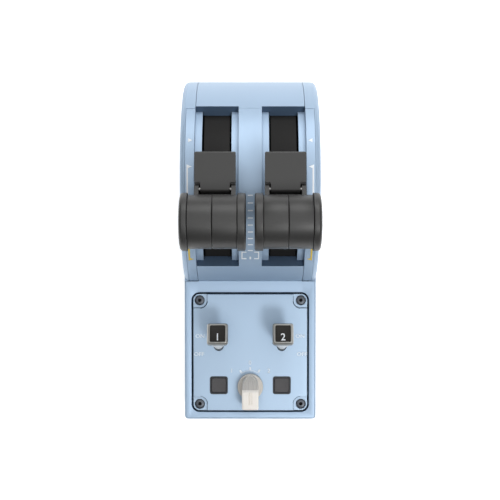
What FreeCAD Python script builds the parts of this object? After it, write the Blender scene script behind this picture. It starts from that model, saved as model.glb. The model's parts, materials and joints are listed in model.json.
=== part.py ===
import FreeCAD
import Part
import math
import os
from FreeCAD import Placement, Rotation, Vector

# Desk throttle quadrant for a flight simulator: two thrust levers on a drum-shaped
# housing, with an engine start panel in front of them. All sizes are in millimetres.
# X runs to the pilot's right, Y forward, Z up. The origin is on the surface that the
# feet stand on, under the middle of the housing. The levers are at their rest place.

# ---------------------------------------------------------------- housing
body_width = 98.0
deck_length = 103.6         # of the low front part, ahead of the drum
drum_radius = 76.5
axle_height = 30.5          # of the lever axle above the desk
shelf_above_axle = 19.8     # where the control deck meets the drum
deck_fall_deg = 2.0         # the deck drops this much towards the pilot
wall = 2.8
shell_thickness = 3.0       # of the curved covers
drum_edge_round = 4.0
deck_edge_round = 1.4
front_corner_round = 2.5
seam = 0.3                  # gap between neighbouring mouldings
apron_joint = 0.05           # between the deck and the apron
edge_softness = 0.4          # radius on the edges that fingers meet
seat_gap = 0.1              # under a moulding that rests on another

# ---------------------------------------------------------------- base
foot_height = 2.5
foot_radius = 8.0
foot_recess = 0.8
base_thickness = 3.0
mount_spacing_x = 54.0
mount_spacing_y = 120.0
insert_bore = 2.1
insert_radius = 3.2
insert_length = 6.0
insert_post_radius = 5.2
ballast_width = 70.0
ballast_length = 58.0
ballast_thickness = 4.0
ballast_from_front = 51.0

# ---------------------------------------------------------------- lever slots
lever_x = 23.5
slot_width = 30.6
slot_front_deg = -54.9      # angles round the axle, from straight up, forward positive
slot_rear_deg = 41.8
divider_rear_deg = 40.2
rail_depth = 5.5
rail_thickness = 2.0
rail_wall = 1.6
rail_gap = 20.6             # free width between a slot's two rails
strip_depth = 9.0
strip_thickness = 1.6
strip_clearance = 0.2          # beside each plate of a lever's fork
scale_plate_width = 6.5
scale_plate_thickness = 1.9

# ---------------------------------------------------------------- levers
lever_rest_deg = 16.0       # lean towards the pilot at rest
axle_radius = 4.0
running_clearance = 0.05
fork_plate = 0.8
fork_outer_width = 20.2
fork_arm_width = 13.0
hub_radius = 13.0
sector_radius = 22.0
sector_width = 8.0
detents_deg = (36.0, 21.5, 0.0, -17.0, -32.0)   # lever travel at each notch
detent_roller_radius = 3.0
detent_roller_deg = 125.0
grip_above_drum = 41.5      # the grip's centre line
grip_radius = 17.7
grip_flange_radius = 19.0
grip_inner_x = 2.85
grip_outer_x = 46.45
grip_disc_width = 5.6
grip_seam_x = 24.7
grip_shell = 2.6
disconnect_radius = 8.0
disconnect_clearance = 0.3
disconnect_travel = 1.5
head_width = 27.6
head_clearance = 4.0        # of the head above the drum
head_core = 7.5             # its length between the fork's plates
head_below_grip = 10.0      # where its sides meet the grip

# ---------------------------------------------------------------- reverse paddles
paddle_forward = 17.5           # its pivot, ahead of the lever's line
paddle_above_drum = 22.0
paddle_slope_deg = 0.0          # below level, at rest
paddle_length = 24.9            # ahead of its pin
paddle_thickness = 3.2
paddle_tongue_width = 19.7
paddle_side_gap = 1.0           # between the tongue and each ear
paddle_neck = 4.4               # of the tongue, ahead of the pin
paddle_knuckle = 3.0
paddle_rest_gap = 0.35          # over the ledge that it rests on
ear_radius = 3.3
paddle_pin_radius = 1.25

# ---------------------------------------------------------------- switch panel
panel_width = 85.0
panel_rear_margin = 9.8
panel_front_margin = 6.6
panel_gap = 1.0
panel_thickness = 3.5
panel_proud = 1.5
panel_corner_round = 4.6
pad_size = 10.5
pad_depth = 1.8
pad_round = 5.5
boss_depth = 6.5            # of the panel's corner bosses below its top face
screw_inset = 4.7
screw_head_radius = 3.45
screw_head_height = 2.4
screw_shank_radius = 1.95
screw_socket = 1.5          # half the hex socket's width across flats
screw_sunk = 0.7
counterbore_radius = 3.8

toggle_x = 23.5
toggle_y = 4.9              # from the panel's middle, forward positive
toggle_tilt_deg = 20.0
toggle_ball_radius = 3.4
toggle_hole_clearance = 0.3
toggle_rod_radius = 2.3
toggle_length = 33.5        # from the pivot to the top of the cap
toggle_cap_size = 15.4
toggle_cap_bevel = 1.2
toggle_cap_block = 5.5
toggle_cap_neck = 3.2
toggle_cap_start = 4.2
label_size = 10.8
label_recess = 0.7

button_x = 23.5
button_y = -24.6
button_size = 10.8
button_clearance = 0.25
bezel_size = 13.3
button_travel = 1.2

knob_y = -25.1
knob_disc_radius = 9.5
knob_disc_height = 5.0
knob_fin_width = 12.2
knob_fin_height = 19.5
knob_tail = 14.8
knob_shaft_radius = 3.0
board_depth = 15.0

# ---------------------------------------------------------------- derived places
drum_front_reach = math.sqrt(drum_radius ** 2 - shelf_above_axle ** 2)
body_length = deck_length + drum_front_reach + drum_radius
half_width = body_width / 2
front_y = -body_length / 2
rear_y = body_length / 2
axle_y = rear_y - drum_radius
shelf_z = axle_height + shelf_above_axle
shelf_y = axle_y - drum_front_reach
shelf_deg = -math.degrees(math.acos(shelf_above_axle / drum_radius))
drum_front_y = axle_y - drum_radius
base_top = foot_height + base_thickness
deck_front_z = shelf_z - (shelf_y - front_y) * math.tan(math.radians(deck_fall_deg))
slot_inner_x = lever_x - slot_width / 2
slot_outer_x = lever_x + slot_width / 2
rail_radius = drum_radius - rail_depth
strip_radius = drum_radius - strip_depth
cover_inner = drum_radius - shell_thickness
axle_point = Vector(0, axle_y, axle_height)
x_axis = Vector(1, 0, 0)

grip_height = drum_radius + grip_above_drum
head_bottom = drum_radius + head_clearance
head_shoulder = head_bottom + head_core
paddle_pivot = (paddle_forward, drum_radius + paddle_above_drum)
panel_length = deck_length - panel_rear_margin - panel_front_margin
panel_middle_y = shelf_y - (panel_rear_margin + panel_length / 2)
panel_frame = Placement(
    Vector(0, panel_middle_y,
           shelf_z + (panel_middle_y - shelf_y) * math.tan(math.radians(deck_fall_deg))),
    Rotation(x_axis, deck_fall_deg))
lever_frame = Placement(Vector(), Rotation(x_axis, lever_rest_deg), axle_point)


# ---------------------------------------------------------------- helpers
def box(x0, x1, y0, y1, z0, z1):
    return Part.makeBox(x1 - x0, y1 - y0, z1 - z0, Vector(x0, y0, z0))


def rod_x(radius, x0, x1, y, z):
    """A round rod along X."""
    return Part.makeCylinder(radius, x1 - x0, Vector(x0, y, z), x_axis)


def rod_z(radius, x, y, z0, z1):
    return Part.makeCylinder(radius, z1 - z0, Vector(x, y, z0))


def rounded_face(corners, place):
    """A face from corners (u, v, radius), each rounded by a tangent arc; place maps u, v to a point."""
    count = len(corners)
    edges = []
    ends = []
    for i, (u, v, radius) in enumerate(corners):
        here = Vector(u, v, 0)
        back = (Vector(*corners[i - 1][:2], 0) - here).normalize()
        ahead = (Vector(*corners[(i + 1) % count][:2], 0) - here).normalize()
        if radius <= 0:
            ends.append((here, None, here))
            continue
        half = back.getAngle(ahead) / 2
        run = radius / math.tan(half)
        inward = (back + ahead).normalize()
        middle = here + inward * (radius / math.sin(half) - radius)
        ends.append((here + back * run, middle, here + ahead * run))
    for i, (start, middle, end) in enumerate(ends):
        if middle is not None:
            edges.append(Part.Arc(place(start), place(middle), place(end)).toShape())
        following = ends[(i + 1) % count][0]
        if (following - end).Length > 1e-6:
            edges.append(Part.LineSegment(place(end), place(following)).toShape())
    return Part.Face(Part.Wire(edges))


def prism_x(corners, x0, x1):
    """A side profile in Y and Z, drawn out from x0 to x1."""
    face = rounded_face(corners, lambda p: Vector(x0, p.x, p.y))
    return face.extrude(Vector(x1 - x0, 0, 0))


def prism_z(corners, z0, z1):
    """A plan outline in X and Y, drawn up from z0 to z1."""
    face = rounded_face(corners, lambda p: Vector(p.x, p.y, z0))
    return face.extrude(Vector(0, 0, z1 - z0))


def plate_z(width, length, radius, z0, z1, x=0.0, y=0.0):
    half_w = width / 2
    half_l = length / 2
    corners = [(x - half_w, y - half_l, radius), (x + half_w, y - half_l, radius),
               (x + half_w, y + half_l, radius), (x - half_w, y + half_l, radius)]
    return prism_z(corners, z0, z1)


def soft_top(shape, radius):
    """The same solid with its top edges rounded."""
    top = max(e.CenterOfMass.z for e in shape.Edges)
    return shape.makeFillet(radius, [e for e in shape.Edges if e.CenterOfMass.z > top - 0.01])


def swept(corners, start_deg, end_deg):
    """A cross-section in X and radius, turned about the axle between two angles from straight up."""
    start = math.radians(start_deg)

    def place(p):
        return Vector(p.x, axle_y + p.y * math.sin(start), axle_height + p.y * math.cos(start))

    face = rounded_face(corners, place)
    return face.revolve(axle_point, Vector(-1, 0, 0), end_deg - start_deg)


def arc_bar(x0, x1, r0, r1, start_deg, end_deg):
    return swept([(x0, r0, 0), (x1, r0, 0), (x1, r1, 0), (x0, r1, 0)], start_deg, end_deg)


def join(*shapes):
    whole = shapes[0].fuse(list(shapes[1:]))
    return whole.removeSplitter()


def mirrored(shape):
    return shape.mirror(Vector(), x_axis)


def on_panel(shape):
    """From the panel's own frame, whose Z is 0 on the deck around it, to the housing's."""
    return shape.transformed(panel_frame.toMatrix())


def on_lever(shape):
    """From a lever that stands upright to its rest lean."""
    return shape.transformed(lever_frame.toMatrix())


def save(name, *solids):
    shape = solids[0] if len(solids) == 1 else Part.makeCompound(list(solids))
    if not shape.isValid() or min(s.Volume for s in shape.Solids) <= 0:
        raise ValueError(f"{name} is not a sound solid")
    shape.exportStep(f"parts/{name}.step")
    print(f"{name}: {len(shape.Solids)} solid(s), {sum(s.Volume for s in shape.Solids):.0f} mm3")


# ---------------------------------------------------------------- housing mouldings
boss_places_front = [(half_width - 6.6, front_y + 7.0), (half_width - 6.6, drum_front_y - 9.0)]
boss_places_side = [(half_width - 6.6, axle_y - 34.0), (half_width - 6.6, rear_y - 9.0)]
boss_places_rear = [(28.0, rear_y - 7.0)]
boss_radius = 3.6
boss_bore = 1.3
boss_height = 16.0


def screw_boss(x, y, reach_x, reach_y):
    """A post for a base screw, with webs that tie it to the walls beside it."""
    top = base_top + boss_height
    post = rod_z(boss_radius, x, y, base_top, top)
    web_x = box(min(x, reach_x), max(x, reach_x), y - 0.8, y + 0.8, base_top, top)
    web_y = box(x - 0.8, x + 0.8, min(y, reach_y), max(y, reach_y), base_top, top)
    return [post, web_x, web_y]


def boss_bores(places):
    return [rod_z(boss_bore, x, y, base_top, base_top + boss_height - 2) for x, y in places]


def both_sides(places):
    return places + [(-x, y) for x, y in places]


def panel_post_bottom():
    return -boss_depth + panel_proud - 16.0


def panel_posts():
    """Posts under the panel's corners, each tied to the nearest side wall."""
    top = panel_proud - boss_depth
    bottom = panel_post_bottom()
    pieces = []
    for side in (-1, 1):
        for end in (-1, 1):
            x = side * (panel_width / 2 - screw_inset)
            y = end * (panel_length / 2 - screw_inset)
            wall_x = side * (half_width - wall / 2)
            post = rod_z(4.2, x, y, bottom, top)
            web = box(min(x, wall_x), max(x, wall_x), y - 2.0, y + 2.0, bottom, top)
            bore = rod_z(screw_shank_radius + running_clearance, x, y, bottom + 2, top + 1)
            pieces.append(on_panel(post.fuse(web).cut(bore)))
    return pieces


def housing_front():
    """The low part of the housing: its walls, and the deck round the switch panel."""
    slope = math.tan(math.radians(deck_fall_deg))
    outer = prism_x([(front_y, base_top, 0), (front_y, deck_front_z, 0),
                     (shelf_y + 3, shelf_z + 3 * slope, 0), (shelf_y + 3, base_top, 0)],
                    -half_width, half_width)
    plan = prism_z([(-half_width, front_y, front_corner_round), (half_width, front_y, front_corner_round),
                    (half_width, shelf_y + 4, 0), (-half_width, shelf_y + 4, 0)], 0, shelf_z + 5)
    outer = outer.common(plan)
    deck = max(outer.Faces, key=lambda f: f.CenterOfMass.z)
    rim = [e for e in deck.Edges if e.CenterOfMass.y < shelf_y]
    outer = outer.makeFillet(deck_edge_round, rim)
    inner = prism_x([(front_y + wall, base_top - 1, 0), (front_y + wall, deck_front_z - wall, 0),
                     (shelf_y + 5, shelf_z + 5 * slope - wall, 0), (shelf_y + 5, base_top - 1, 0)],
                    -half_width + wall, half_width - wall)
    shell = outer.cut(inner)
    apron_half = slot_outer_x - seam
    drum_room = [rod_x(drum_radius + apron_joint, -half_width - 1, half_width + 1, axle_y, axle_height)]
    for x0, x1 in ((-half_width - 1, -apron_half), (apron_half, half_width + 1)):
        drum_room.append(rod_x(drum_radius + seam, x0, x1, axle_y, axle_height))
    under_drum = box(-half_width - 1, half_width + 1, drum_front_y - seam, axle_y, 0, axle_height)
    shell = shell.cut(drum_room + [under_drum])
    opening = on_panel(plate_z(panel_width + 2 * panel_gap, panel_length + 2 * panel_gap,
                               panel_corner_round + panel_gap, -6, 6))
    shell = shell.cut(opening)

    bosses = []
    for x, y in boss_places_front:
        reach_y = front_y + wall / 2 if y < -90 else y + boss_radius
        bosses += screw_boss(x, y, half_width - wall / 2, reach_y)
        bosses += screw_boss(-x, y, -half_width + wall / 2, reach_y)
    whole = join(shell, *bosses, *panel_posts())
    return whole.cut(boss_bores(both_sides(boss_places_front)))


def housing_side():
    """The right-hand cheek: the drum's side wall with its rounded rim, and a seat for the scale plate."""
    x_in = half_width - wall
    rim_x = slot_outer_x
    side_section = [(half_width, 0.5, 0), (half_width, drum_radius, drum_edge_round),
                    (rim_x, drum_radius, 0), (rim_x, cover_inner, 0), (x_in, cover_inner, 0), (x_in, 0.5, 0)]
    cheek = swept(side_section, shelf_deg, 90)
    front_fill = arc_bar(x_in, half_width, 0.5, drum_radius, -90, shelf_deg)
    hub_disc = rod_x(1.0, x_in, half_width, axle_y, axle_height)
    skirt = box(x_in, half_width, drum_front_y, rear_y - drum_edge_round, base_top, axle_height)
    rear_skirt = prism_z([(half_width, rear_y, drum_edge_round), (rim_x, rear_y, 0),
                          (rim_x, rear_y - shell_thickness, 0), (x_in, rear_y - shell_thickness, 0),
                          (x_in, rear_y - 12, 0), (half_width, rear_y - 12, 0)], base_top, axle_height)
    seat = arc_bar(rim_x - 1, rim_x + scale_plate_width + 0.1, drum_radius - scale_plate_thickness,
                   drum_radius + 1, shelf_deg - 1, divider_rear_deg)
    bosses = []
    for x, y in boss_places_side:
        bosses += screw_boss(x, y, half_width - wall / 2, y + boss_radius)
    whole = join(cheek, front_fill, hub_disc, skirt, rear_skirt, *bosses)
    return whole.cut([seat] + boss_bores(boss_places_side))


def housing_rear():
    """The cover behind the slots, which runs over the drum and down the back to the base."""
    half = slot_outer_x - seam
    cover = arc_bar(-half, half, cover_inner, drum_radius, slot_rear_deg, 90)
    tongue = arc_bar(-slot_inner_x, slot_inner_x, cover_inner, drum_radius,
                     divider_rear_deg + 0.2, slot_rear_deg + 1)
    back = box(-half, half, rear_y - shell_thickness, rear_y, base_top, axle_height)
    ends = [piece for side in (-1, 1) for piece in slot_end(side * lever_x, slot_rear_deg)]
    bosses = []
    for x, y in both_sides(boss_places_rear):
        bosses += screw_boss(x, y, x + boss_radius, rear_y - shell_thickness / 2)
    socket_hole = prism_y_slot(usb_width + 0.6, usb_height + 0.6, rear_y - shell_thickness - 1, rear_y + 1,
                               usb_height_above_desk)
    whole = join(cover, tongue, back, *ends, *bosses)
    return whole.cut([socket_hole] + boss_bores(both_sides(boss_places_rear)))


# ---------------------------------------------------------------- socket
usb_width = 9.0
usb_height = 3.3
usb_depth = 7.4
usb_shell = 0.35
usb_height_above_desk = 14.0


def prism_y_slot(width, height, y0, y1, z):
    """A flat-oval bar along Y."""
    half_w = width / 2
    half_h = height / 2
    radius = half_h - 0.01
    face = rounded_face([(-half_w, z - half_h, radius), (half_w, z - half_h, radius),
                         (half_w, z + half_h, radius), (-half_w, z + half_h, radius)],
                        lambda p: Vector(p.x, y0, p.y))
    return face.extrude(Vector(0, y1 - y0, 0))


def usb_socket():
    y1 = rear_y - 0.5
    y0 = y1 - usb_depth
    z = usb_height_above_desk
    shell = prism_y_slot(usb_width, usb_height, y0, y1, z)
    room = prism_y_slot(usb_width - 2 * usb_shell, usb_height - 2 * usb_shell, y0 + 1.5, y1 + 1, z)
    tongue = box(-usb_width / 2 + 1.7, usb_width / 2 - 1.7, y0 + 1, y1 - 1.2, z - 0.35, z + 0.35)
    return join(shell.cut(room), tongue)


# ---------------------------------------------------------------- drum cover
rail_front_deg = -60.0
rail_rear_deg = 46.5
slot_end_thick_deg = 1.6
tie_deg = 2.5                # along the drum, of the bars across the rails' ends


def slot_end(x, start_deg):
    """A slot's end wall: down to the rails, and between them to the dust strip."""
    end_deg = start_deg + slot_end_thick_deg
    wide = arc_bar(x - slot_width / 2 + 0.2, x + slot_width / 2 - seam, rail_radius + 0.2,
                   cover_inner + 0.5, start_deg, end_deg)
    narrow = arc_bar(x - rail_gap / 2 + 0.3, x + rail_gap / 2 - 0.3, strip_radius + 0.2,
                     rail_radius + 0.7, start_deg, end_deg)
    return [wide, narrow]


def drum_cover():
    """The apron and the divider between the slots, with the sunk rails that edge both slots."""
    apron_half = slot_outer_x - seam
    apron = arc_bar(-apron_half, apron_half, cover_inner, drum_radius, shelf_deg - 2.0, slot_front_deg)
    divider = arc_bar(-slot_inner_x, slot_inner_x, cover_inner, drum_radius,
                      slot_front_deg - 1, divider_rear_deg)
    rail_bottom = rail_radius - rail_thickness
    under = cover_inner - seat_gap
    span = slot_outer_x + rail_wall
    pieces = [apron, divider]
    for side in (-1, 1):
        inner_wall = sorted((side * (slot_inner_x - rail_wall), side * slot_inner_x))
        outer_wall = sorted((side * slot_outer_x, side * span))
        inner_rail = sorted((side * (slot_inner_x - rail_wall), side * (lever_x - rail_gap / 2)))
        outer_rail = sorted((side * (lever_x + rail_gap / 2), side * span))
        pieces.append(arc_bar(*inner_wall, rail_bottom, under, rail_front_deg, rail_rear_deg))
        pieces.append(arc_bar(*inner_wall, under - 1, cover_inner + 0.5, rail_front_deg, divider_rear_deg))
        pieces.append(arc_bar(*outer_wall, rail_bottom, under, rail_front_deg, rail_rear_deg))
        pieces.append(arc_bar(*inner_rail, rail_bottom, rail_radius, rail_front_deg, rail_rear_deg))
        pieces.append(arc_bar(*outer_rail, rail_bottom, rail_radius, rail_front_deg, rail_rear_deg))
        pieces += slot_end(side * lever_x, slot_front_deg - slot_end_thick_deg)
    tie_half = slot_outer_x - seam
    for start, top in ((rail_front_deg, cover_inner + 0.5), (rail_rear_deg - tie_deg, rail_radius)):
        pieces.append(arc_bar(-tie_half, tie_half, rail_bottom, top, start, start + tie_deg))
    return join(*pieces)


def dust_strip():
    """The fixed black strip under the right-hand slot. The lever's fork straddles it."""
    half = fork_outer_width / 2 - fork_plate - strip_clearance
    strip = arc_bar(lever_x - half, lever_x + half, strip_radius - strip_thickness, strip_radius,
                    rail_front_deg, rail_rear_deg)
    foot_top = rail_radius - rail_thickness - seat_gap
    feet = []
    for start in (rail_front_deg, rail_rear_deg - tie_deg):
        feet.append(arc_bar(lever_x - half, lever_x + half, strip_radius - 0.5, foot_top,
                            start, start + tie_deg))
    return join(strip, *feet)


def scale_plate():
    """The marked plate let into the right-hand cheek beside the slot."""
    return arc_bar(slot_outer_x, slot_outer_x + scale_plate_width,
                   drum_radius - scale_plate_thickness + seat_gap, drum_radius,
                   shelf_deg + 0.3, divider_rear_deg - 0.25)


# ---------------------------------------------------------------- base
bracket_thickness = 3.0
outer_bracket_x = 40.4
bracket_foot = 12.0


def base_screw_places():
    return both_sides(boss_places_front) + both_sides(boss_places_side) + both_sides(boss_places_rear)


def foot_places():
    return [(sx * (half_width - 13), sy * (body_length / 2 - 21)) for sx in (-1, 1) for sy in (-1, 1)]


def mount_places():
    return [(sx * mount_spacing_x / 2, sy * mount_spacing_y / 2) for sx in (-1, 1) for sy in (-1, 1)]


screw3_head_radius = 2.8
screw3_head_height = 1.8
screw3_shank = 1.25


def base_plate():
    plate = plate_z(body_width, body_length, front_corner_round, foot_height, base_top)
    holes = [rod_z(foot_radius + 0.1, x, y, 0, foot_height + foot_recess) for x, y in foot_places()]
    for x, y in base_screw_places():
        holes.append(rod_z(screw3_shank + 0.2, x, y, 0, base_top + 1))
        holes.append(rod_z(screw3_head_radius + 0.2, x, y, 0, foot_height + screw3_head_height))
    posts = [rod_z(insert_post_radius, x, y, base_top - 0.5, foot_height + insert_length)
             for x, y in mount_places()]
    for x, y in mount_places():
        holes.append(rod_z(insert_radius, x, y, 0, foot_height + insert_length + 1))
    return join(plate, *posts).cut(holes)


def mount_inserts():
    """Brass inserts, open below, for screws that hold the quadrant to a desk clamp or a tray."""
    made = []
    for x, y in mount_places():
        sleeve = rod_z(insert_radius - 0.02, x, y, foot_height, foot_height + insert_length)
        bore = rod_z(insert_bore, x, y, foot_height - 1, foot_height + insert_length + 1)
        made.append(sleeve.cut(bore))
    return made


def feet():
    return [rod_z(foot_radius, x, y, 0, foot_height + foot_recess) for x, y in foot_places()]


def base_screws():
    made = []
    for x, y in base_screw_places():
        head = rod_z(screw3_head_radius, x, y, foot_height + 0.2, foot_height + screw3_head_height)
        shank = rod_z(screw3_shank, x, y, foot_height + 0.5, base_top + 9)
        slot = box(x - 2, x + 2, y - 0.4, y + 0.4, foot_height, foot_height + 0.9)
        made.append(join(head, shank).cut(slot))
    return made


def ballast():
    """A steel slab that keeps the front of the base down, cut round the insert posts."""
    slab = plate_z(ballast_width, ballast_length, 3, base_top, base_top + ballast_thickness,
                   0, front_y + ballast_from_front)
    room = [rod_z(insert_post_radius + seam, x, y, base_top - 1, base_top + ballast_thickness + 1)
            for x, y in mount_places()]
    return slab.cut(room)


# ---------------------------------------------------------------- axle and supports
def axle():
    end = outer_bracket_x + bracket_thickness + 1.5
    return rod_x(axle_radius, -end, end, axle_y, axle_height)


def bracket(x0, x1, foot_to):
    """An upright that carries the axle, with a foot screwed to the base."""
    upright = prism_x([(axle_y - 20, base_top, 1), (axle_y + 20, base_top, 1),
                       (axle_y + 8.5, axle_height + 9, 6), (axle_y - 8.5, axle_height + 9, 6)], x0, x1)
    foot = box(min(x0, foot_to), max(x1, foot_to), axle_y - 18, axle_y + 18, base_top, base_top + 2.4)
    bore = rod_x(axle_radius, x0 - 1, x1 + 1, axle_y, axle_height)
    return join(upright, foot).cut(bore)


def spacers():
    """Fixed sleeves on the axle that keep the levers apart and off the brackets."""
    inner_face = lever_x - fork_outer_width / 2
    outer_face = lever_x + fork_outer_width / 2 + magnet_width + 0.1
    made = []
    for x0, x1, radius in ((3.0, inner_face - washer_width - 0.1, 7.0),
                           (outer_face + 0.2, outer_bracket_x, 5.6)):
        tube = rod_x(radius, x0, x1, axle_y, axle_height).cut(
            rod_x(axle_radius, x0 - 1, x1 + 1, axle_y, axle_height))
        made += [tube, mirrored(tube)]
    return made


washer_width = 1.2
magnet_width = 3.0


def friction_washers():
    x1 = lever_x - fork_outer_width / 2 - 0.05
    ring = rod_x(11.5, x1 - washer_width, x1, axle_y, axle_height).cut(
        rod_x(axle_radius, 0, 40, axle_y, axle_height))
    return [ring, mirrored(ring)]


def detent_spring():
    """A leaf that stands on the base behind the hub and carries the detent roller in its hooked end."""
    turn = math.radians(detent_roller_deg)
    reach = sector_radius + 0.3 + detent_roller_radius
    y = axle_y + reach * math.sin(turn)
    z = axle_height + reach * math.cos(turn)
    half = sector_width / 2
    x0 = lever_x - half
    x1 = lever_x + half
    foot = box(x0, x1, y + 1.5, y + 16, base_top, base_top + 1.2)
    leaf = prism_x([(y + 3.6, base_top + 0.6, 0), (y + 4.6, base_top + 0.6, 0),
                    (y + 4.2, z + 4, 0.3), (y + 3.2, z + 4, 0.3)], x0, x1)
    cheeks = [prism_x([(y - 1.8, z - 1.8, 1.7), (y + 3.9, z - 2.2, 0),
                       (y + 3.9, z + 2.8, 0), (y - 1.8, z + 1.8, 1.7)],
                      a, a + 1.0) for a in (x0, x1 - 1.0)]
    pin_bore = rod_x(1.0, x0 - 1, x1 + 1, y, z)
    body = join(foot, leaf, *cheeks).cut(pin_bore)
    roller = join(rod_x(detent_roller_radius, x0 + 1.2, x1 - 1.2, y, z), rod_x(0.95, x0, x1, y, z))
    return body, roller


# ---------------------------------------------------------------- electronics
board_thickness = 1.6


def main_board():
    z1 = usb_height_above_desk - usb_height / 2
    board = plate_z(44, 24, 1, z1 - board_thickness, z1, 0, rear_y - shell_thickness - 13.2)
    chips = [box(-14, -4, rear_y - 22, rear_y - 15, z1 - 0.1, z1 + 1.2),
             box(6, 16, rear_y - 24, rear_y - 17, z1 - 0.1, z1 + 1.5)]
    legs = [rod_z(2.2, x, rear_y - 25, base_top, z1 - board_thickness + 0.2) for x in (-17, 17)]
    return join(board, *chips, *legs)


def sensor_boards():
    """The upright boards that read the magnet on each lever."""
    x1 = outer_bracket_x
    board = box(x1 - board_thickness, x1, axle_y - 12, axle_y + 12, axle_height - 11, axle_height + 15)
    hole = rod_x(6.0, x1 - 4, x1 + 1, axle_y, axle_height)
    return [board.cut(hole), mirrored(board.cut(hole))]


# ---------------------------------------------------------------- switch panel
def panel_corners():
    return [(sx * (panel_width / 2), sy * (panel_length / 2)) for sx in (-1, 1) for sy in (-1, 1)]


def panel_screw_places():
    return [(math.copysign(abs(x) - screw_inset, x), math.copysign(abs(y) - screw_inset, y))
            for x, y in panel_corners()]


def corner_pad(x, y, size, z0, z1, outside):
    """A plan area in a corner of the panel, with its inner corner rounded."""
    sx = math.copysign(1, x)
    sy = math.copysign(1, y)
    corners = [(x + sx * outside, y + sy * outside, 0), (x - sx * size, y + sy * outside, 0),
               (x - sx * size, y - sy * size, pad_round), (x + sx * outside, y - sy * size, 0)]
    return prism_z(corners, z0, z1)


def switch_panel():
    top = panel_proud
    plate = plate_z(panel_width, panel_length, panel_corner_round, top - panel_thickness, top)
    plate = soft_top(plate, edge_softness)
    outline = plate_z(panel_width, panel_length, panel_corner_round, -20, 20)
    bosses = []
    pockets = []
    for x, y in panel_corners():
        bosses.append(corner_pad(x, y, pad_size, top - boss_depth, top - 1, 0).common(outline))
        pockets.append(corner_pad(x, y, pad_size, top - pad_depth, top + 1, 1))
    holes = []
    head_seat = top - pad_depth - screw_sunk - screw_head_height
    for x, y in panel_screw_places():
        holes.append(rod_z(counterbore_radius, x, y, head_seat, top + 1))
        holes.append(rod_z(screw_shank_radius + 0.1, x, y, -20, top))
    for x in (-toggle_x, toggle_x):
        holes.append(rod_z(toggle_ball_radius + toggle_hole_clearance, x, toggle_y, -20, 20))
    for x in (-button_x, button_x):
        holes.append(plate_z(bezel_size + 0.1, bezel_size + 0.1, 1.8, -20, 20, x, button_y))
    holes.append(rod_z(knob_shaft_radius + 0.25, 0, knob_y, -20, 20))
    return on_panel(join(plate, *bosses).cut(pockets + holes))


def panel_screws():
    made = []
    top = panel_proud - pad_depth - screw_sunk
    for x, y in panel_screw_places():
        head = rod_z(screw_head_radius, x, y, top - screw_head_height, top)
        shank = rod_z(screw_shank_radius, x, y, top - screw_head_height - 12, top - 1)
        points = [Vector(x + screw_socket / math.cos(math.pi / 6) * math.cos(math.pi / 3 * i),
                         y + screw_socket / math.cos(math.pi / 6) * math.sin(math.pi / 3 * i), top + 0.1)
                  for i in range(7)]
        socket = Part.Face(Part.makePolygon(points)).extrude(Vector(0, 0, -1.7))
        made.append(on_panel(join(head, shank).cut(socket)))
    return made


def toggle_place(shape, side):
    """From a toggle that stands straight up on its pivot to its tilted place on the panel."""
    tilt = Placement(Vector(side * toggle_x, toggle_y, panel_proud - 0.5),
                     Rotation(x_axis, -toggle_tilt_deg))
    return on_panel(shape.transformed(tilt.toMatrix()))


def toggle_stem():
    ball = Part.makeSphere(toggle_ball_radius)
    rod = rod_z(toggle_rod_radius, 0, 0, 0, toggle_length - toggle_cap_block - 1)
    tail = rod_z(1.6, 0, 0, -8.5, 0)
    return join(ball, rod, tail)


def toggle_cap():
    """A square head on a neck that tapers to the panel. It lifts along the stem to unlock."""
    half = toggle_cap_size / 2
    block_bottom = toggle_length - toggle_cap_block
    block = plate_z(toggle_cap_size, toggle_cap_size, 1.8, block_bottom, toggle_length)
    rim = [e for e in block.Edges if e.CenterOfMass.z > toggle_length - 0.01]
    block = block.makeChamfer(toggle_cap_bevel, rim)
    def ring(reach, radius, z):
        corners = [(-reach, -reach, radius), (reach, -reach, radius),
                   (reach, reach, radius), (-reach, reach, radius)]
        return rounded_face(corners, lambda p: Vector(p.x, p.y, z))

    low = ring(toggle_cap_neck, toggle_cap_neck - 0.05, toggle_cap_start)
    high = ring(half - 0.6, 1.2, block_bottom)
    taper = Part.makeLoft([low.OuterWire, high.OuterWire], True, True)
    bore = rod_z(toggle_rod_radius + running_clearance, 0, 0, 0, toggle_length - toggle_cap_block)
    opening = label_size + 0.1
    recess = plate_z(opening, opening, 0.9, toggle_length - label_recess, toggle_length + 1)
    return join(block, taper).cut([bore, recess])


def toggle_label():
    return plate_z(label_size, label_size, 0.85, toggle_length - label_recess, toggle_length - 0.15)


def toggle_switch_body(side):
    top = panel_proud - panel_thickness
    x = side * toggle_x
    case = box(x - 7.5, x + 7.5, toggle_y - 11, toggle_y + 11, top - 17, top)
    room = box(x - 5, x + 5, toggle_y - 8, toggle_y + 8, top - 11, top + 1)
    return on_panel(case.cut(room))


def bezel(side):
    x = side * button_x
    opening = button_size + 2 * button_clearance
    bottom = panel_proud - panel_thickness
    ring = plate_z(bezel_size, bezel_size, 1.75, bottom, panel_proud + 0.15, x, button_y)
    return on_panel(ring.cut(plate_z(opening, opening, 1.1, -20, 20, x, button_y)))


def push_button(side):
    x = side * button_x
    bottom = panel_proud - panel_thickness
    cap = plate_z(button_size, button_size, 0.9, bottom, panel_proud + 0.1, x, button_y)
    cap = soft_top(cap, edge_softness)
    plunger = rod_z(2.0, x, button_y, bottom - 3.5, bottom + 0.5)
    return on_panel(join(cap, plunger))


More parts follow.
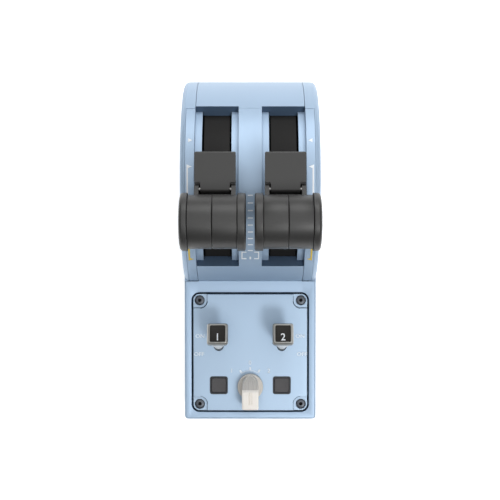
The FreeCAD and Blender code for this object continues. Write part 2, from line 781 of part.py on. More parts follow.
def button_switch(side):
    """The tact switch behind a button, between the bezel and the circuit board."""
    x = side * button_x
    top = panel_proud - panel_thickness
    outer = bezel_size / 2
    bottom = -board_depth + board_thickness
    case = box(x - outer, x + outer, button_y - outer, button_y + outer, bottom, top)
    half = button_size / 2 + button_clearance
    room = box(x - half, x + half, button_y - half, button_y + half, top - button_travel - 0.2, top + 1)
    well = rod_z(2.3, x, button_y, top - button_travel - 4.2, top)
    return on_panel(case.cut([room, well]))


def mode_knob():
    """A round skirt with a fin across it; the fin's high tail points at the pilot."""
    base = panel_proud + 0.4
    skirt = rod_z(knob_disc_radius, 0, 0, base, base + knob_disc_height)
    half = knob_fin_width / 2
    top = base + knob_fin_height
    front = knob_disc_radius - 0.6
    side_view = rounded_face([(-knob_tail, base + 3.2, 1.0), (front, base + 0.6, 0),
                              (front, base + knob_disc_height, 0.8), (3.0, base + 11.5, 9.0),
                              (-1.6, top, 3.0), (-knob_tail, top - 1.6, 1.2)],
                             lambda p: Vector(-half, p.x, p.y))
    fin = side_view.extrude(Vector(knob_fin_width, 0, 0))
    arch = prism_z([(-half, -knob_tail - 1, 0), (half, -knob_tail - 1, 0), (half, 0.5, 6),
                    (1.6, knob_disc_radius, 1.2), (-1.6, knob_disc_radius, 1.2), (-half, 0.5, 6)], 0, 40)
    groove = box(-1.1, 1.1, -10.8, -1.8, top - 1.2, top + 1)
    shaft = rod_z(knob_shaft_radius, 0, 0, -board_depth + board_thickness + 1.2, base + 1)
    whole = join(skirt, fin.common(arch), shaft)
    whole = whole.cut(groove)
    whole.translate(Vector(0, knob_y, 0))
    return on_panel(whole)


def rotary_switch():
    top = panel_proud - panel_thickness
    case = rod_z(9.0, 0, knob_y, -board_depth + board_thickness, top)
    bore_bottom = -board_depth + board_thickness + 1
    bore = rod_z(knob_shaft_radius + running_clearance, 0, knob_y, bore_bottom, top + 1)
    return on_panel(case.cut(bore))


def panel_board():
    z1 = -board_depth + board_thickness
    board = plate_z(66, 38, 1.5, z1 - board_thickness, z1, 0, knob_y + 6)
    notches = [box(side * toggle_x - 8, side * toggle_x + 8, toggle_y - 11.5, toggle_y + 30, -30, 30)
               for side in (-1, 1)]
    return on_panel(board.cut(notches))


# ---------------------------------------------------------------- levers, built upright on the right
def at(forward, up):
    """A place in an upright lever's own plane, as Y and Z of the housing."""
    return axle_y + forward, axle_height + up


def lever_profile(corners, x0, x1):
    return prism_x([(*at(f, a), r) for f, a, r in corners], x0, x1)


def fork_plates():
    half = fork_outer_width / 2
    arm = fork_arm_width / 2
    made = []
    for x0 in (lever_x - half, lever_x + half - fork_plate):
        x1 = x0 + fork_plate
        disc = rod_x(hub_radius + 1, x0, x1, *at(0, 0))
        tip = head_shoulder - seat_gap
        blade = lever_profile([(-arm, 0, 0), (arm, 0, 0), (arm, tip, 0), (-arm, tip, 0)], x0, x1)
        hole = rod_x(axle_radius + running_clearance, x0 - 1, x1 + 1, *at(0, 0))
        made.append(on_lever(join(disc, blade).cut(hole)))
    return made


def lever_hub():
    """The hub between the fork's plates, with the notched detent sector below it."""
    half = fork_outer_width / 2 - fork_plate - 0.02
    core = rod_x(hub_radius, lever_x - half, lever_x + half, *at(0, 0))
    base_deg = detent_roller_deg + lever_rest_deg
    low = base_deg - max(detents_deg) - 9
    high = base_deg - min(detents_deg) + 9
    sector = arc_bar(lever_x - sector_width / 2, lever_x + sector_width / 2,
                     hub_radius - 2, sector_radius, low, high)
    notches = []
    for travel in detents_deg:
        turn = math.radians(base_deg - travel)
        reach = sector_radius + detent_roller_radius - 1.3
        y, z = at(reach * math.sin(turn), reach * math.cos(turn))
        notches.append(rod_x(detent_roller_radius + 0.2, lever_x - half, lever_x + half, y, z))
    bore = rod_x(axle_radius + running_clearance, lever_x - half - 1, lever_x + half + 1, *at(0, 0))
    return on_lever(join(core, sector).cut(notches + [bore]))


def lever_magnet():
    x0 = lever_x + fork_outer_width / 2 + 0.02
    ring = rod_x(6.5, x0, x0 + magnet_width, *at(0, 0))
    bore = rod_x(axle_radius + running_clearance, x0 - 1, x0 + magnet_width + 1, *at(0, 0))
    return on_lever(ring.cut(bore))


def lever_head():
    """The moulded neck that joins the fork to the grip, with two ears for the paddle's pin."""
    half = head_width / 2
    core_half = fork_outer_width / 2 - fork_plate - 0.02
    ear_f, ear_up = paddle_pivot
    under_ear = (ear_f + ear_radius * 0.64, ear_up - ear_radius * 0.77, 0)
    over_ear = (ear_f + ear_radius * 0.71, ear_up + ear_radius * 0.71, 0)
    top = grip_height - head_below_grip
    block = lever_profile([(-8.5, head_shoulder, 1.5), (8.0, head_shoulder, 2.0), under_ear, over_ear,
                           (14.0, top, 2.0), (-13.5, top, 2.0), (-11.0, top - 11.0, 8.0)],
                          lever_x - half, lever_x + half)
    ears = rod_x(ear_radius, lever_x - half, lever_x + half, *at(*paddle_pivot))
    core = lever_profile([(-6.2, head_bottom, 1.0), (6.2, head_bottom, 1.0), (6.2, head_shoulder + 2, 0),
                          (-6.2, head_shoulder + 2, 0)], lever_x - core_half, lever_x + core_half)
    grip_room = rod_x(grip_radius + seat_gap, lever_x - 30, lever_x + 30, *at(0, grip_height))
    rest_top = paddle_knuckle - paddle_thickness - paddle_rest_gap
    rest = prism_x([(-7.0, -6.4, 0), (3.5, -5.6, 2.0), (7.5, rest_top - 1.8, 0.8), (7.5, rest_top, 0.3),
                    (-7.0, rest_top, 0)], lever_x - half, lever_x + half)
    tongue_half = paddle_tongue_width / 2 + paddle_side_gap
    back = -paddle_knuckle - 2.2
    tongue_room = box(lever_x - tongue_half, lever_x + tongue_half, back, 40, rest_top, 30)
    knuckle_room = rod_x(paddle_knuckle + paddle_rest_gap, lever_x - tongue_half, lever_x + tongue_half, 0, 0)
    rest, tongue_room, knuckle_room = [shape.transformed(paddle_frame().toMatrix())
                                       for shape in (rest, tongue_room, knuckle_room)]
    pin_bore = rod_x(paddle_pin_radius + 0.01, lever_x - 30, lever_x + 30, *at(*paddle_pivot))
    rooms = [grip_room, tongue_room, knuckle_room, pin_bore]
    return on_lever(join(block, ears, core, rest).cut(rooms))


def grip_shape(profile):
    """A solid of revolution about the grip's centre line, from corners of X and radius."""
    y, z = at(0, grip_height)
    face = rounded_face(profile, lambda p: Vector(p.x, y, z + p.y))
    return on_lever(face.revolve(Vector(0, y, z), x_axis, 360))


def grip_inner():
    """The inner half of the grip's barrel, a thick cup that opens at the seam."""
    x0 = grip_inner_x + grip_disc_width + 0.15
    x1 = grip_seam_x - 0.1
    room = grip_radius - grip_shell
    return grip_shape([(x0, 0, 0), (x0, grip_radius, 0.3), (x1, grip_radius, 0.5), (x1, room, 0),
                       (x0 + 3, room, 0), (x0 + 3, 0, 0)])


def grip_outer():
    x0 = grip_seam_x + 0.1
    x1 = grip_outer_x - grip_disc_width - 0.15
    room = grip_radius - grip_shell
    bore = 3.0
    return grip_shape([(x0, room, 0), (x0, grip_radius, 0.5), (x1, grip_radius, 0.3), (x1, bore, 0),
                       (x1 - 3, bore, 0), (x1 - 3, room, 0)])


def grip_flange():
    """The disc that closes the grip on the side of the other lever."""
    x0 = grip_inner_x
    x1 = x0 + grip_disc_width
    return grip_shape([(x0, 0, 0), (x0, grip_flange_radius, 1.4), (x1, grip_flange_radius, 0.5), (x1, 0, 0)])


def grip_cap():
    """The crowned outer end of the grip, bored for the disconnect button."""
    x1 = grip_outer_x
    x0 = x1 - grip_disc_width
    bore = disconnect_radius + disconnect_clearance
    return grip_shape([(x0, 3.0, 0), (x0, grip_flange_radius, 0.5), (x1 - 1.0, grip_flange_radius, 2.0),
                       (x1 - 0.25, grip_flange_radius - 4.0, 5.0), (x1, bore + 0.6, 0), (x1 - 0.4, bore, 0),
                       (x0 + 1.2, bore, 0), (x0 + 1.2, 3.0, 0)])


def disconnect_button():
    x1 = grip_outer_x - 0.3
    x0 = grip_outer_x - grip_disc_width + 1.2 + disconnect_travel + 0.2
    y, z = at(0, grip_height)
    cap = grip_shape([(x0, 0, 0), (x0, disconnect_radius, 0), (x1, disconnect_radius, 0.6), (x1, 0, 0)])
    plunger = on_lever(rod_x(1.8, x0 - 5, x0 + 0.5, y, z))
    return join(cap, plunger)


def paddle_frame():
    """Places a paddle, built with its pivot at the origin and its length along Y, on the upright lever."""
    y, z = at(*paddle_pivot)
    drop = paddle_slope_deg + lever_rest_deg
    return Placement(Vector(0, y, z), Rotation(x_axis, -drop))


def reverse_paddle():
    """The plate that the fingers lift for reverse thrust: wide ahead of the ears, narrow between them."""
    half = head_width / 2
    tongue = paddle_tongue_width / 2
    top = paddle_knuckle
    bottom = top - paddle_thickness
    x0 = lever_x - half
    x1 = lever_x + half
    end = paddle_length
    face = rounded_face([(x0, paddle_neck, 0.8), (x0, end, 1.2), (x1, end, 1.2), (x1, paddle_neck, 0.8),
                         (lever_x + tongue, paddle_neck, 0), (lever_x + tongue, 0, 0),
                         (lever_x - tongue, 0, 0), (lever_x - tongue, paddle_neck, 0)],
                        lambda p: Vector(p.x, p.y, bottom))
    plate = face.extrude(Vector(0, 0, paddle_thickness))
    side = prism_x([(-1, bottom, 0), (end, bottom, 1.2), (end, top, 1.2), (-1, top, 0)], x0 - 1, x1 + 1)
    plate = plate.common(side)
    knuckle = rod_x(paddle_knuckle, lever_x - tongue, lever_x + tongue, 0, 0)
    bore = rod_x(paddle_pin_radius + running_clearance, x0, x1, 0, 0)
    whole = join(plate, knuckle).cut(bore)
    return on_lever(whole.transformed(paddle_frame().toMatrix()))


def paddle_pin():
    half = head_width / 2 - 0.3
    return on_lever(rod_x(paddle_pin_radius, lever_x - half, lever_x + half, *at(*paddle_pivot)))


# ---------------------------------------------------------------- export
def save_pair(name, right):
    """Saves a right-hand piece as number 2 and its mirror image as number 1."""
    solids = right if isinstance(right, list) else [right]
    save(f"{name}_1", *[mirrored(s) for s in solids])
    save(f"{name}_2", *solids)


def main():
    os.makedirs("parts", exist_ok=True)
    side = housing_side()
    spring, roller = detent_spring()
    outer = bracket(outer_bracket_x, outer_bracket_x + bracket_thickness, outer_bracket_x - bracket_foot + 5)
    middle = bracket(-bracket_thickness, bracket_thickness, bracket_foot - 2)

    save("housing_front", housing_front())
    save("housing_side_1", mirrored(side))
    save("housing_side_2", side)
    save("housing_rear", housing_rear())
    save("drum_cover", drum_cover())
    save("dust_strips", mirrored(dust_strip()), dust_strip())
    save("scale_plates", mirrored(scale_plate()), scale_plate())
    save("base_plate", base_plate())
    save("base_feet", *feet())
    save("base_screws", *base_screws())
    save("mount_inserts", *mount_inserts())
    save("ballast_plate", ballast())
    save("axle", axle())
    save("axle_brackets", mirrored(outer), outer)
    save("axle_bracket_middle", middle)
    save("axle_spacers", *spacers())
    save("friction_washers", *friction_washers())
    save("detent_springs", mirrored(spring), spring)
    save("detent_rollers", mirrored(roller), roller)
    save("main_board", main_board())
    save("sensor_boards", *sensor_boards())
    save("usb_socket", usb_socket())

    save("switch_panel", switch_panel())
    save("panel_screws", *panel_screws())
    save("panel_board", panel_board())
    save("toggle_switches", toggle_switch_body(-1), toggle_switch_body(1))
    save("button_bezels", bezel(-1), bezel(1))
    save("button_switches", button_switch(-1), button_switch(1))
    save("rotary_switch", rotary_switch())
    save("mode_knob", mode_knob())
    for number, turn in ((1, -1), (2, 1)):
        save(f"toggle_stem_{number}", toggle_place(toggle_stem(), turn))
        save(f"toggle_cap_{number}", toggle_place(toggle_cap(), turn))
        save(f"toggle_label_{number}", toggle_place(toggle_label(), turn))
        save(f"push_button_{number}", push_button(turn))

    save_pair("lever_fork", fork_plates())
    save_pair("lever_hub", lever_hub())
    save_pair("lever_magnet", lever_magnet())
    save_pair("lever_head", lever_head())
    save_pair("grip_barrel_inner", grip_inner())
    save_pair("grip_barrel_outer", grip_outer())
    save_pair("grip_flange", grip_flange())
    save_pair("grip_cap", grip_cap())
    save_pair("disconnect_button", disconnect_button())
    save_pair("reverse_paddle", reverse_paddle())
    save_pair("paddle_pin", paddle_pin())


main()
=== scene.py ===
import json
import math

import bmesh
import bpy
from mathutils import Matrix, Vector

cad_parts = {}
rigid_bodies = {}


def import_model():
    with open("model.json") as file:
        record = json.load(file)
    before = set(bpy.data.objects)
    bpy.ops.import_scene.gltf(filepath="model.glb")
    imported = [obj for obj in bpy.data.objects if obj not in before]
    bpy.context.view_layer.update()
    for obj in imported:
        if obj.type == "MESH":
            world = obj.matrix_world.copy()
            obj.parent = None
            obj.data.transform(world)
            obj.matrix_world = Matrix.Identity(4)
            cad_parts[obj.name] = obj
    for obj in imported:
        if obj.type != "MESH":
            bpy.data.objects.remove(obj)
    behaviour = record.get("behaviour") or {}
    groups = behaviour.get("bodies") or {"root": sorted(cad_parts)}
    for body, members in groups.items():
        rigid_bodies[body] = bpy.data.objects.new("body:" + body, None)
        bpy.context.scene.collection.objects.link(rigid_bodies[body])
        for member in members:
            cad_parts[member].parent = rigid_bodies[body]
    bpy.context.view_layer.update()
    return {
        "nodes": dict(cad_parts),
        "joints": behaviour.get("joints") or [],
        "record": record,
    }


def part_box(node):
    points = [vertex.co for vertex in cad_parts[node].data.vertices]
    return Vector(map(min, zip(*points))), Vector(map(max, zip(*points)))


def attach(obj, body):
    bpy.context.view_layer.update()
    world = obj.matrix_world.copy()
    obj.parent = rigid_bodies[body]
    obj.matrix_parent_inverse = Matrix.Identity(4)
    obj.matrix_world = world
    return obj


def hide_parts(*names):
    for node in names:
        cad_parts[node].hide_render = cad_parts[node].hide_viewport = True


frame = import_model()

mm = 0.001
nodes = frame["nodes"]
joints = {joint["name"]: joint for joint in frame["joints"]}


def standOn(origin, up):
    # a place whose Z is up and whose Y points ahead, for pieces that only lean fore and aft
    up = Vector(up)
    ahead = Vector((0, up.z, -up.y))
    turn = Matrix((Vector((1, 0, 0)), ahead, up)).transposed().to_4x4()
    return Matrix.Translation(origin) @ turn


# places that the frame gives
axlePoint = Vector(joints["lever_1_swing"]["pos_m"])
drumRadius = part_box("drum_cover")[1].z - axlePoint.z
knobPlace = standOn(joints["mode_knob_turn"]["pos_m"], joints["mode_knob_turn"]["axis"])
knobBack = 25.1
panelPlace = knobPlace @ Matrix.Translation((0, knobBack * mm, 0))
togglePlace = {k: standOn(joints[f"toggle_{k}_tilt"]["pos_m"], joints[f"toggle_{k}_unlock"]["axis"])
               for k in (1, 2)}


def linear(red, green, blue):
    parts = [value / 255 for value in (red, green, blue)]
    return (*[c / 12.92 if c <= 0.04045 else ((c + 0.055) / 1.055) ** 2.4 for c in parts], 1.0)


# node groups that several finishes share
def newGroup(name, inputs, outputs):
    tree = bpy.data.node_groups.new(name, "ShaderNodeTree")
    for label, kind, value in inputs:
        socket = tree.interface.new_socket(label, in_out="INPUT", socket_type=kind)
        if value is not None:
            socket.default_value = value
    for label, kind in outputs:
        tree.interface.new_socket(label, in_out="OUTPUT", socket_type=kind)
    return tree, tree.nodes.new("NodeGroupInput"), tree.nodes.new("NodeGroupOutput")


def addNode(tree, kind, **settings):
    node = tree.nodes.new(kind)
    for key, value in settings.items():
        setattr(node, key, value)
    return node


def makeGrainGroup():
    tree, start, end = newGroup(
        "mouldGrain",
        [("Scale", "NodeSocketFloat", 3000.0), ("Coarse", "NodeSocketFloat", 0.35)],
        [("Height", "NodeSocketFloat")])
    place = addNode(tree, "ShaderNodeTexCoord")
    fine = addNode(tree, "ShaderNodeTexNoise")
    fine.inputs["Detail"].default_value = 3.0
    fine.inputs["Roughness"].default_value = 0.6
    cells = addNode(tree, "ShaderNodeTexVoronoi", feature="SMOOTH_F1")
    mix = addNode(tree, "ShaderNodeMix", data_type="FLOAT")
    link = tree.links.new
    link(place.outputs["Object"], fine.inputs["Vector"])
    link(place.outputs["Object"], cells.inputs["Vector"])
    link(start.outputs["Scale"], fine.inputs["Scale"])
    link(start.outputs["Scale"], cells.inputs["Scale"])
    link(start.outputs["Coarse"], mix.inputs["Factor"])
    link(fine.outputs["Fac"], mix.inputs["A"])
    link(cells.outputs["Distance"], mix.inputs["B"])
    link(mix.outputs["Result"], end.inputs["Height"])
    return tree


def makeWearGroup():
    # where edges are rubbed, in patches
    tree, start, end = newGroup(
        "edgeWear",
        [("Width", "NodeSocketFloat", 0.0006), ("Amount", "NodeSocketFloat", 0.5),
         ("Patch Scale", "NodeSocketFloat", 90.0)],
        [("Mask", "NodeSocketFloat"), ("Rounded Normal", "NodeSocketVector")])
    place = addNode(tree, "ShaderNodeTexCoord")
    surface = addNode(tree, "ShaderNodeNewGeometry")
    rounded = addNode(tree, "ShaderNodeBevel", samples=6)
    patches = addNode(tree, "ShaderNodeTexNoise")
    patches.inputs["Detail"].default_value = 4.0
    dot = addNode(tree, "ShaderNodeVectorMath", operation="DOT_PRODUCT")
    edge = addNode(tree, "ShaderNodeMapRange")
    edge.inputs["From Min"].default_value = 0.995
    edge.inputs["From Max"].default_value = 0.86
    speckle = addNode(tree, "ShaderNodeMapRange")
    speckle.inputs["From Min"].default_value = 0.38
    speckle.inputs["From Max"].default_value = 0.62
    both = addNode(tree, "ShaderNodeMath", operation="MULTIPLY")
    amount = addNode(tree, "ShaderNodeMath", operation="MULTIPLY")
    link = tree.links.new
    link(place.outputs["Object"], patches.inputs["Vector"])
    link(start.outputs["Patch Scale"], patches.inputs["Scale"])
    link(start.outputs["Width"], rounded.inputs["Radius"])
    link(rounded.outputs["Normal"], dot.inputs[0])
    link(surface.outputs["Normal"], dot.inputs[1])
    link(dot.outputs["Value"], edge.inputs["Value"])
    link(patches.outputs["Fac"], speckle.inputs["Value"])
    link(edge.outputs["Result"], both.inputs[0])
    link(speckle.outputs["Result"], both.inputs[1])
    link(both.outputs["Value"], amount.inputs[0])
    link(start.outputs["Amount"], amount.inputs[1])
    link(amount.outputs["Value"], end.inputs["Mask"])
    link(rounded.outputs["Normal"], end.inputs["Rounded Normal"])
    return tree


def makeHandlingGroup():
    # slow changes of gloss and tone, from handling and dust
    tree, start, end = newGroup(
        "handling",
        [("Scale", "NodeSocketFloat", 22.0), ("Base", "NodeSocketFloat", 0.45),
         ("Spread", "NodeSocketFloat", 0.08)],
        [("Roughness", "NodeSocketFloat"), ("Tone", "NodeSocketFloat")])
    place = addNode(tree, "ShaderNodeTexCoord")
    clouds = addNode(tree, "ShaderNodeTexNoise")
    clouds.inputs["Detail"].default_value = 5.0
    clouds.inputs["Distortion"].default_value = 0.6
    centred = addNode(tree, "ShaderNodeMath", operation="MULTIPLY_ADD")
    centred.inputs[1].default_value = 2.0
    centred.inputs[2].default_value = -1.0
    swing = addNode(tree, "ShaderNodeMath", operation="MULTIPLY_ADD")
    link = tree.links.new
    link(place.outputs["Object"], clouds.inputs["Vector"])
    link(start.outputs["Scale"], clouds.inputs["Scale"])
    link(clouds.outputs["Fac"], centred.inputs[0])
    link(centred.outputs["Value"], swing.inputs[0])
    link(start.outputs["Spread"], swing.inputs[1])
    link(start.outputs["Base"], swing.inputs[2])
    link(swing.outputs["Value"], end.inputs["Roughness"])
    link(clouds.outputs["Fac"], end.inputs["Tone"])
    return tree


grainGroup = makeGrainGroup()
wearGroup = makeWearGroup()
handlingGroup = makeHandlingGroup()
print("shared shader groups made")


# finishes
def placeGroup(tree, group, **values):
    node = addNode(tree, "ShaderNodeGroup", node_tree=group)
    for key, value in values.items():
        node.inputs[key.replace("_", " ")].default_value = value
    return node


usualLook = {"metallic": 0.0, "specular": 0.5, "coat": 0.0, "coatRoughness": 0.2, "handlingScale": 22.0,
             "roughnessSpread": 0.06, "wear": 0.3, "wearWidth": 0.0004, "wearPatch": 90.0,
             "grainScale": 3000.0, "grainCoarse": 0.35, "grainStrength": 0.25, "grainDepth": 0.00004}


def makeFinish(name, own):
    look = {**usualLook, "colourAlt": own["colour"], "wearColour": own["colour"], **own}
    material = bpy.data.materials.new(name)
    material.use_nodes = True
    tree = material.node_tree
    shader = tree.nodes["Principled BSDF"]
    link = tree.links.new
    shader.inputs["Metallic"].default_value = look["metallic"]
    shader.inputs["Specular IOR Level"].default_value = look["specular"]
    shader.inputs["Coat Weight"].default_value = look["coat"]
    shader.inputs["Coat Roughness"].default_value = look["coatRoughness"]

    handling = placeGroup(tree, handlingGroup, Scale=look["handlingScale"],
                          Base=look["roughness"], Spread=look["roughnessSpread"])
    link(handling.outputs["Roughness"], shader.inputs["Roughness"])

    tone = addNode(tree, "ShaderNodeMix", data_type="RGBA")
    tone.inputs["A"].default_value = look["colour"]
    tone.inputs["B"].default_value = look["colourAlt"]
    link(handling.outputs["Tone"], tone.inputs["Factor"])

    worn = addNode(tree, "ShaderNodeMix", data_type="RGBA")
    worn.inputs["B"].default_value = look["wearColour"]
    wear = placeGroup(tree, wearGroup, Width=look["wearWidth"], Amount=look["wear"],
                      Patch_Scale=look["wearPatch"])
    link(wear.outputs["Mask"], worn.inputs["Factor"])
    link(tone.outputs["Result"], worn.inputs["A"])
    link(worn.outputs["Result"], shader.inputs["Base Color"])

    grain = placeGroup(tree, grainGroup, Scale=look["grainScale"], Coarse=look["grainCoarse"])
    bump = addNode(tree, "ShaderNodeBump")
    bump.inputs["Strength"].default_value = look["grainStrength"]
    bump.inputs["Distance"].default_value = look["grainDepth"]
    link(grain.outputs["Height"], bump.inputs["Height"])
    link(wear.outputs["Rounded Normal"], bump.inputs["Normal"])
    link(bump.outputs["Normal"], shader.inputs["Normal"])
    return material


finishes = {
    "housingPaint": {"colour": linear(160, 183, 207), "colourAlt": linear(166, 189, 213),
                     "metallic": 0.26, "roughness": 0.44, "wear": 0.25,
                     "wearColour": linear(196, 213, 230), "grainScale": 2600.0,
                     "grainStrength": 0.12, "specular": 0.45},
    "panelPaint": {"colour": linear(164, 187, 210), "colourAlt": linear(170, 193, 216),
                   "metallic": 0.22, "roughness": 0.4, "wear": 0.3,
                   "wearColour": linear(200, 216, 232), "grainScale": 3400.0,
                   "grainStrength": 0.08, "specular": 0.45},
    # dark navy painted shade, for walls and gaps that lie in shade
    "paintedShadeNavy": {"colour": linear(62, 80, 101), "colourAlt": linear(68, 86, 107), "roughness": 0.6,
                  "wear": 0.0, "grainScale": 2600.0, "grainStrength": 0.1, "specular": 0.2},
    "darkStrip": {"colour": linear(25, 25, 25), "colourAlt": linear(30, 29, 28), "roughness": 0.7,
                  "grainScale": 4200.0, "grainStrength": 0.3, "wear": 0.0, "specular": 0.3},
    "baseBlack": {"colour": linear(52, 53, 55), "colourAlt": linear(60, 61, 63), "roughness": 0.6,
                  "grainScale": 1800.0, "grainStrength": 0.5, "wear": 0.3,
                  "wearColour": linear(96, 97, 99)},
    "footRubber": {"colour": linear(40, 40, 40), "colourAlt": linear(52, 51, 50), "roughness": 0.85,
                   "grainScale": 2600.0, "grainStrength": 0.4, "wear": 0.2,
                   "wearColour": linear(84, 83, 81)},
    "steel": {"colour": linear(170, 170, 168), "colourAlt": linear(156, 156, 156), "metallic": 1.0,
              "roughness": 0.4, "grainScale": 5200.0, "grainStrength": 0.12, "wear": 0.2,
              "wearColour": linear(208, 208, 206)},
    "screwBlack": {"colour": linear(84, 89, 96), "colourAlt": linear(74, 78, 85), "metallic": 0.6,
                   "roughness": 0.42, "grainScale": 4200.0, "grainStrength": 0.15, "wear": 0.7,
                   "wearColour": linear(150, 154, 160), "wearWidth": 0.00025},
    "brass": {"colour": linear(212, 176, 96), "colourAlt": linear(192, 156, 84), "metallic": 1.0,
              "roughness": 0.3, "wear": 0.2, "wearColour": linear(232, 206, 140)},
    "castIron": {"colour": linear(96, 97, 99), "colourAlt": linear(84, 84, 86), "metallic": 0.7,
                 "roughness": 0.6, "grainScale": 1600.0, "grainStrength": 0.5, "wear": 0.3,
                 "wearColour": linear(140, 141, 143)},
    "framePlastic": {"colour": linear(58, 60, 63), "colourAlt": linear(66, 68, 71),
                     "roughness": 0.55, "wear": 0.1, "wearColour": linear(90, 92, 95)},
    "boardGreen": {"colour": linear(28, 84, 52), "colourAlt": linear(34, 96, 60), "roughness": 0.35,
                   "coat": 0.4, "wear": 0.0, "grainStrength": 0.05},
    "gripGrey": {"colour": linear(24, 24, 23), "colourAlt": linear(29, 29, 28), "roughness": 0.6,
                 "grainScale": 3600.0, "grainStrength": 0.3, "wear": 0.3, "specular": 0.45,
                 "coat": 0.6, "coatRoughness": 0.38,
                 "wearColour": linear(70, 69, 67), "wearWidth": 0.0004},
    "capSilver": {"colour": linear(168, 168, 165), "colourAlt": linear(154, 154, 151),
                  "metallic": 0.9, "roughness": 0.34, "grainScale": 4200.0,
                  "grainStrength": 0.1, "wear": 0.5, "wearColour": linear(214, 213, 209),
                  "wearWidth": 0.0003},
    # near-white copy of the cap silver: painted highlight for the lower part of the toggle caps, which
    # faces the key light
    "noseSilverPaintedHighlight": {"colour": linear(248, 248, 246), "colourAlt": linear(240, 240, 238),
                   "metallic": 0.0, "roughness": 0.3, "specular": 0.8, "grainScale": 4200.0,
                   "grainStrength": 0.1, "wear": 0.2, "wearColour": linear(250, 250, 248)},
    "socketShade": {"colour": linear(14, 15, 17), "colourAlt": linear(18, 19, 21), "roughness": 0.7,
                    "wear": 0.0, "specular": 0.2},
    "labelBlack": {"colour": linear(36, 34, 31), "colourAlt": linear(42, 40, 37), "roughness": 0.62,
                   "wear": 0.0, "grainStrength": 0.1, "specular": 0.3},
    "knobCream": {"colour": linear(238, 233, 226), "colourAlt": linear(244, 240, 234),
                  "roughness": 0.42, "coat": 0.1, "wear": 0.2, "wearColour": linear(250, 247, 242),
                  "grainScale": 3000.0, "grainStrength": 0.06},
    # darker copy of the knob cream: painted shade for the disc and the fin's slope that faces away from the
    # light
    "knobShade": {"colour": linear(200, 196, 190), "colourAlt": linear(206, 202, 196),
                  "roughness": 0.46, "wear": 0.2, "wearColour": linear(226, 222, 216),
                  "grainScale": 3000.0, "grainStrength": 0.06},
    "buttonGrey": {"colour": linear(72, 71, 73), "colourAlt": linear(78, 77, 79), "roughness": 0.6,
                   "grainScale": 3600.0, "grainStrength": 0.3, "wear": 0.1, "specular": 0.4,
                   "wearColour": linear(102, 102, 104)},
    # dark navy painted shade for the button bezels, standing for the shaded gap round the buttons
    "bezelPaintedShade": {"colour": linear(26, 32, 42), "colourAlt": linear(30, 36, 46), "roughness": 0.4,
                  "wear": 0.2, "wearColour": linear(80, 86, 98)},
    "printWhite": {"colour": linear(244, 248, 252), "colourAlt": linear(238, 244, 250),
                   "roughness": 0.5, "wear": 0.0, "grainStrength": 0.1},
    "printPale": {"colour": linear(226, 236, 246), "colourAlt": linear(220, 231, 242),
                  "roughness": 0.5, "wear": 0.0, "grainStrength": 0.1},
    "printYellow": {"colour": linear(228, 198, 76), "colourAlt": linear(220, 188, 68),
                    "roughness": 0.5, "wear": 0.0, "grainStrength": 0.1},
}
finish = {name: makeFinish(name, look) for name, look in finishes.items()}
print("finishes made:", len(finish))

slotFinish = {
    "housing_paint": "housingPaint", "panel_paint": "panelPaint", "dark_strip": "darkStrip",
    "base_black": "baseBlack", "foot_rubber": "footRubber", "steel": "steel",
    "screw_black": "screwBlack", "brass": "brass", "ballast": "castIron",
    "frame_plastic": "framePlastic", "board_green": "boardGreen", "grip_grey": "gripGrey",
    "cap_silver": "capSilver", "label_black": "labelBlack", "knob_cream": "knobCream",
    "button_grey": "buttonGrey",
}
nodeSlot = {part["node"]: part["material_slot"] for part in frame["record"]["subparts"]}
nodeBody = {name: body for body, names in frame["record"]["behaviour"]["bodies"].items() for name in names}


def finishFor(node):
    # the button bezels take the dark navy painted shade of the gap round the buttons
    return finish["bezelPaintedShade"] if node == "button_bezels" else finish[slotFinish[nodeSlot[node]]]


def dressCadNodes():
    for name, node in nodes.items():
        node.data.materials.clear()
        node.data.materials.append(finishFor(name))
    print("CAD nodes dressed:", len(nodes))


dressCadNodes()


# ways of making pieces
def addObject(name, data):
    made = bpy.data.objects.new(name, data)
    bpy.context.scene.collection.objects.link(made)
    return made


def frozenMesh(holder):
    # the plain mesh of an object as it stands; the object itself goes
    bpy.context.view_layer.update()
    mesh = bpy.data.meshes.new_from_object(holder.evaluated_get(bpy.context.evaluated_depsgraph_get()))
    bpy.data.objects.remove(holder)
    return mesh


def creaseByAngle(shape, degrees, rounded=()):
    # smooth shading with sharp creases; a rounded edge never bends the shading of the flats beside it
    rounded = set(rounded)
    for face in shape.faces:
        face.smooth = True
    for edge in shape.edges:
        faces = edge.link_faces
        edge.smooth = len(faces) == 2 and edge.calc_face_angle(0) < math.radians(degrees)
        if len(faces) == 2 and (faces[0] in rounded) != (faces[1] in rounded):
            edge.smooth = edge.smooth and edge.calc_face_angle(0) < math.radians(4)


def placePiece(name, shape, look, body, stands=(), place=None, crease=32, rounded=()):
    if place is not None:
        shape.transform(place)
    bmesh.ops.recalc_face_normals(shape, faces=shape.faces)
    creaseByAngle(shape, crease, rounded)
    mesh = bpy.data.meshes.new(name)
    shape.to_mesh(mesh)
    shape.free()
    for material in look if isinstance(look, list) else [look]:
        mesh.materials.append(material)
    piece = addObject(name, mesh)
    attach(piece, body)
    if stands:
        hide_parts(*stands)
    return piece


def roundedLoop(halfX, halfY, radius, z, steps=5, x=0.0, y=0.0):
    # a rounded rectangle in plan, anticlockwise, always with the same number of points
    points = []
    for turn, (sx, sy) in enumerate(((1, 1), (-1, 1), (-1, -1), (1, -1))):
        for step in range(steps + 1):
            angle = math.pi / 2 * (turn + step / steps)
            points.append(Vector((x + sx * (halfX - radius) + radius * math.cos(angle),
                                  y + sy * (halfY - radius) + radius * math.sin(angle), z)))
    return points


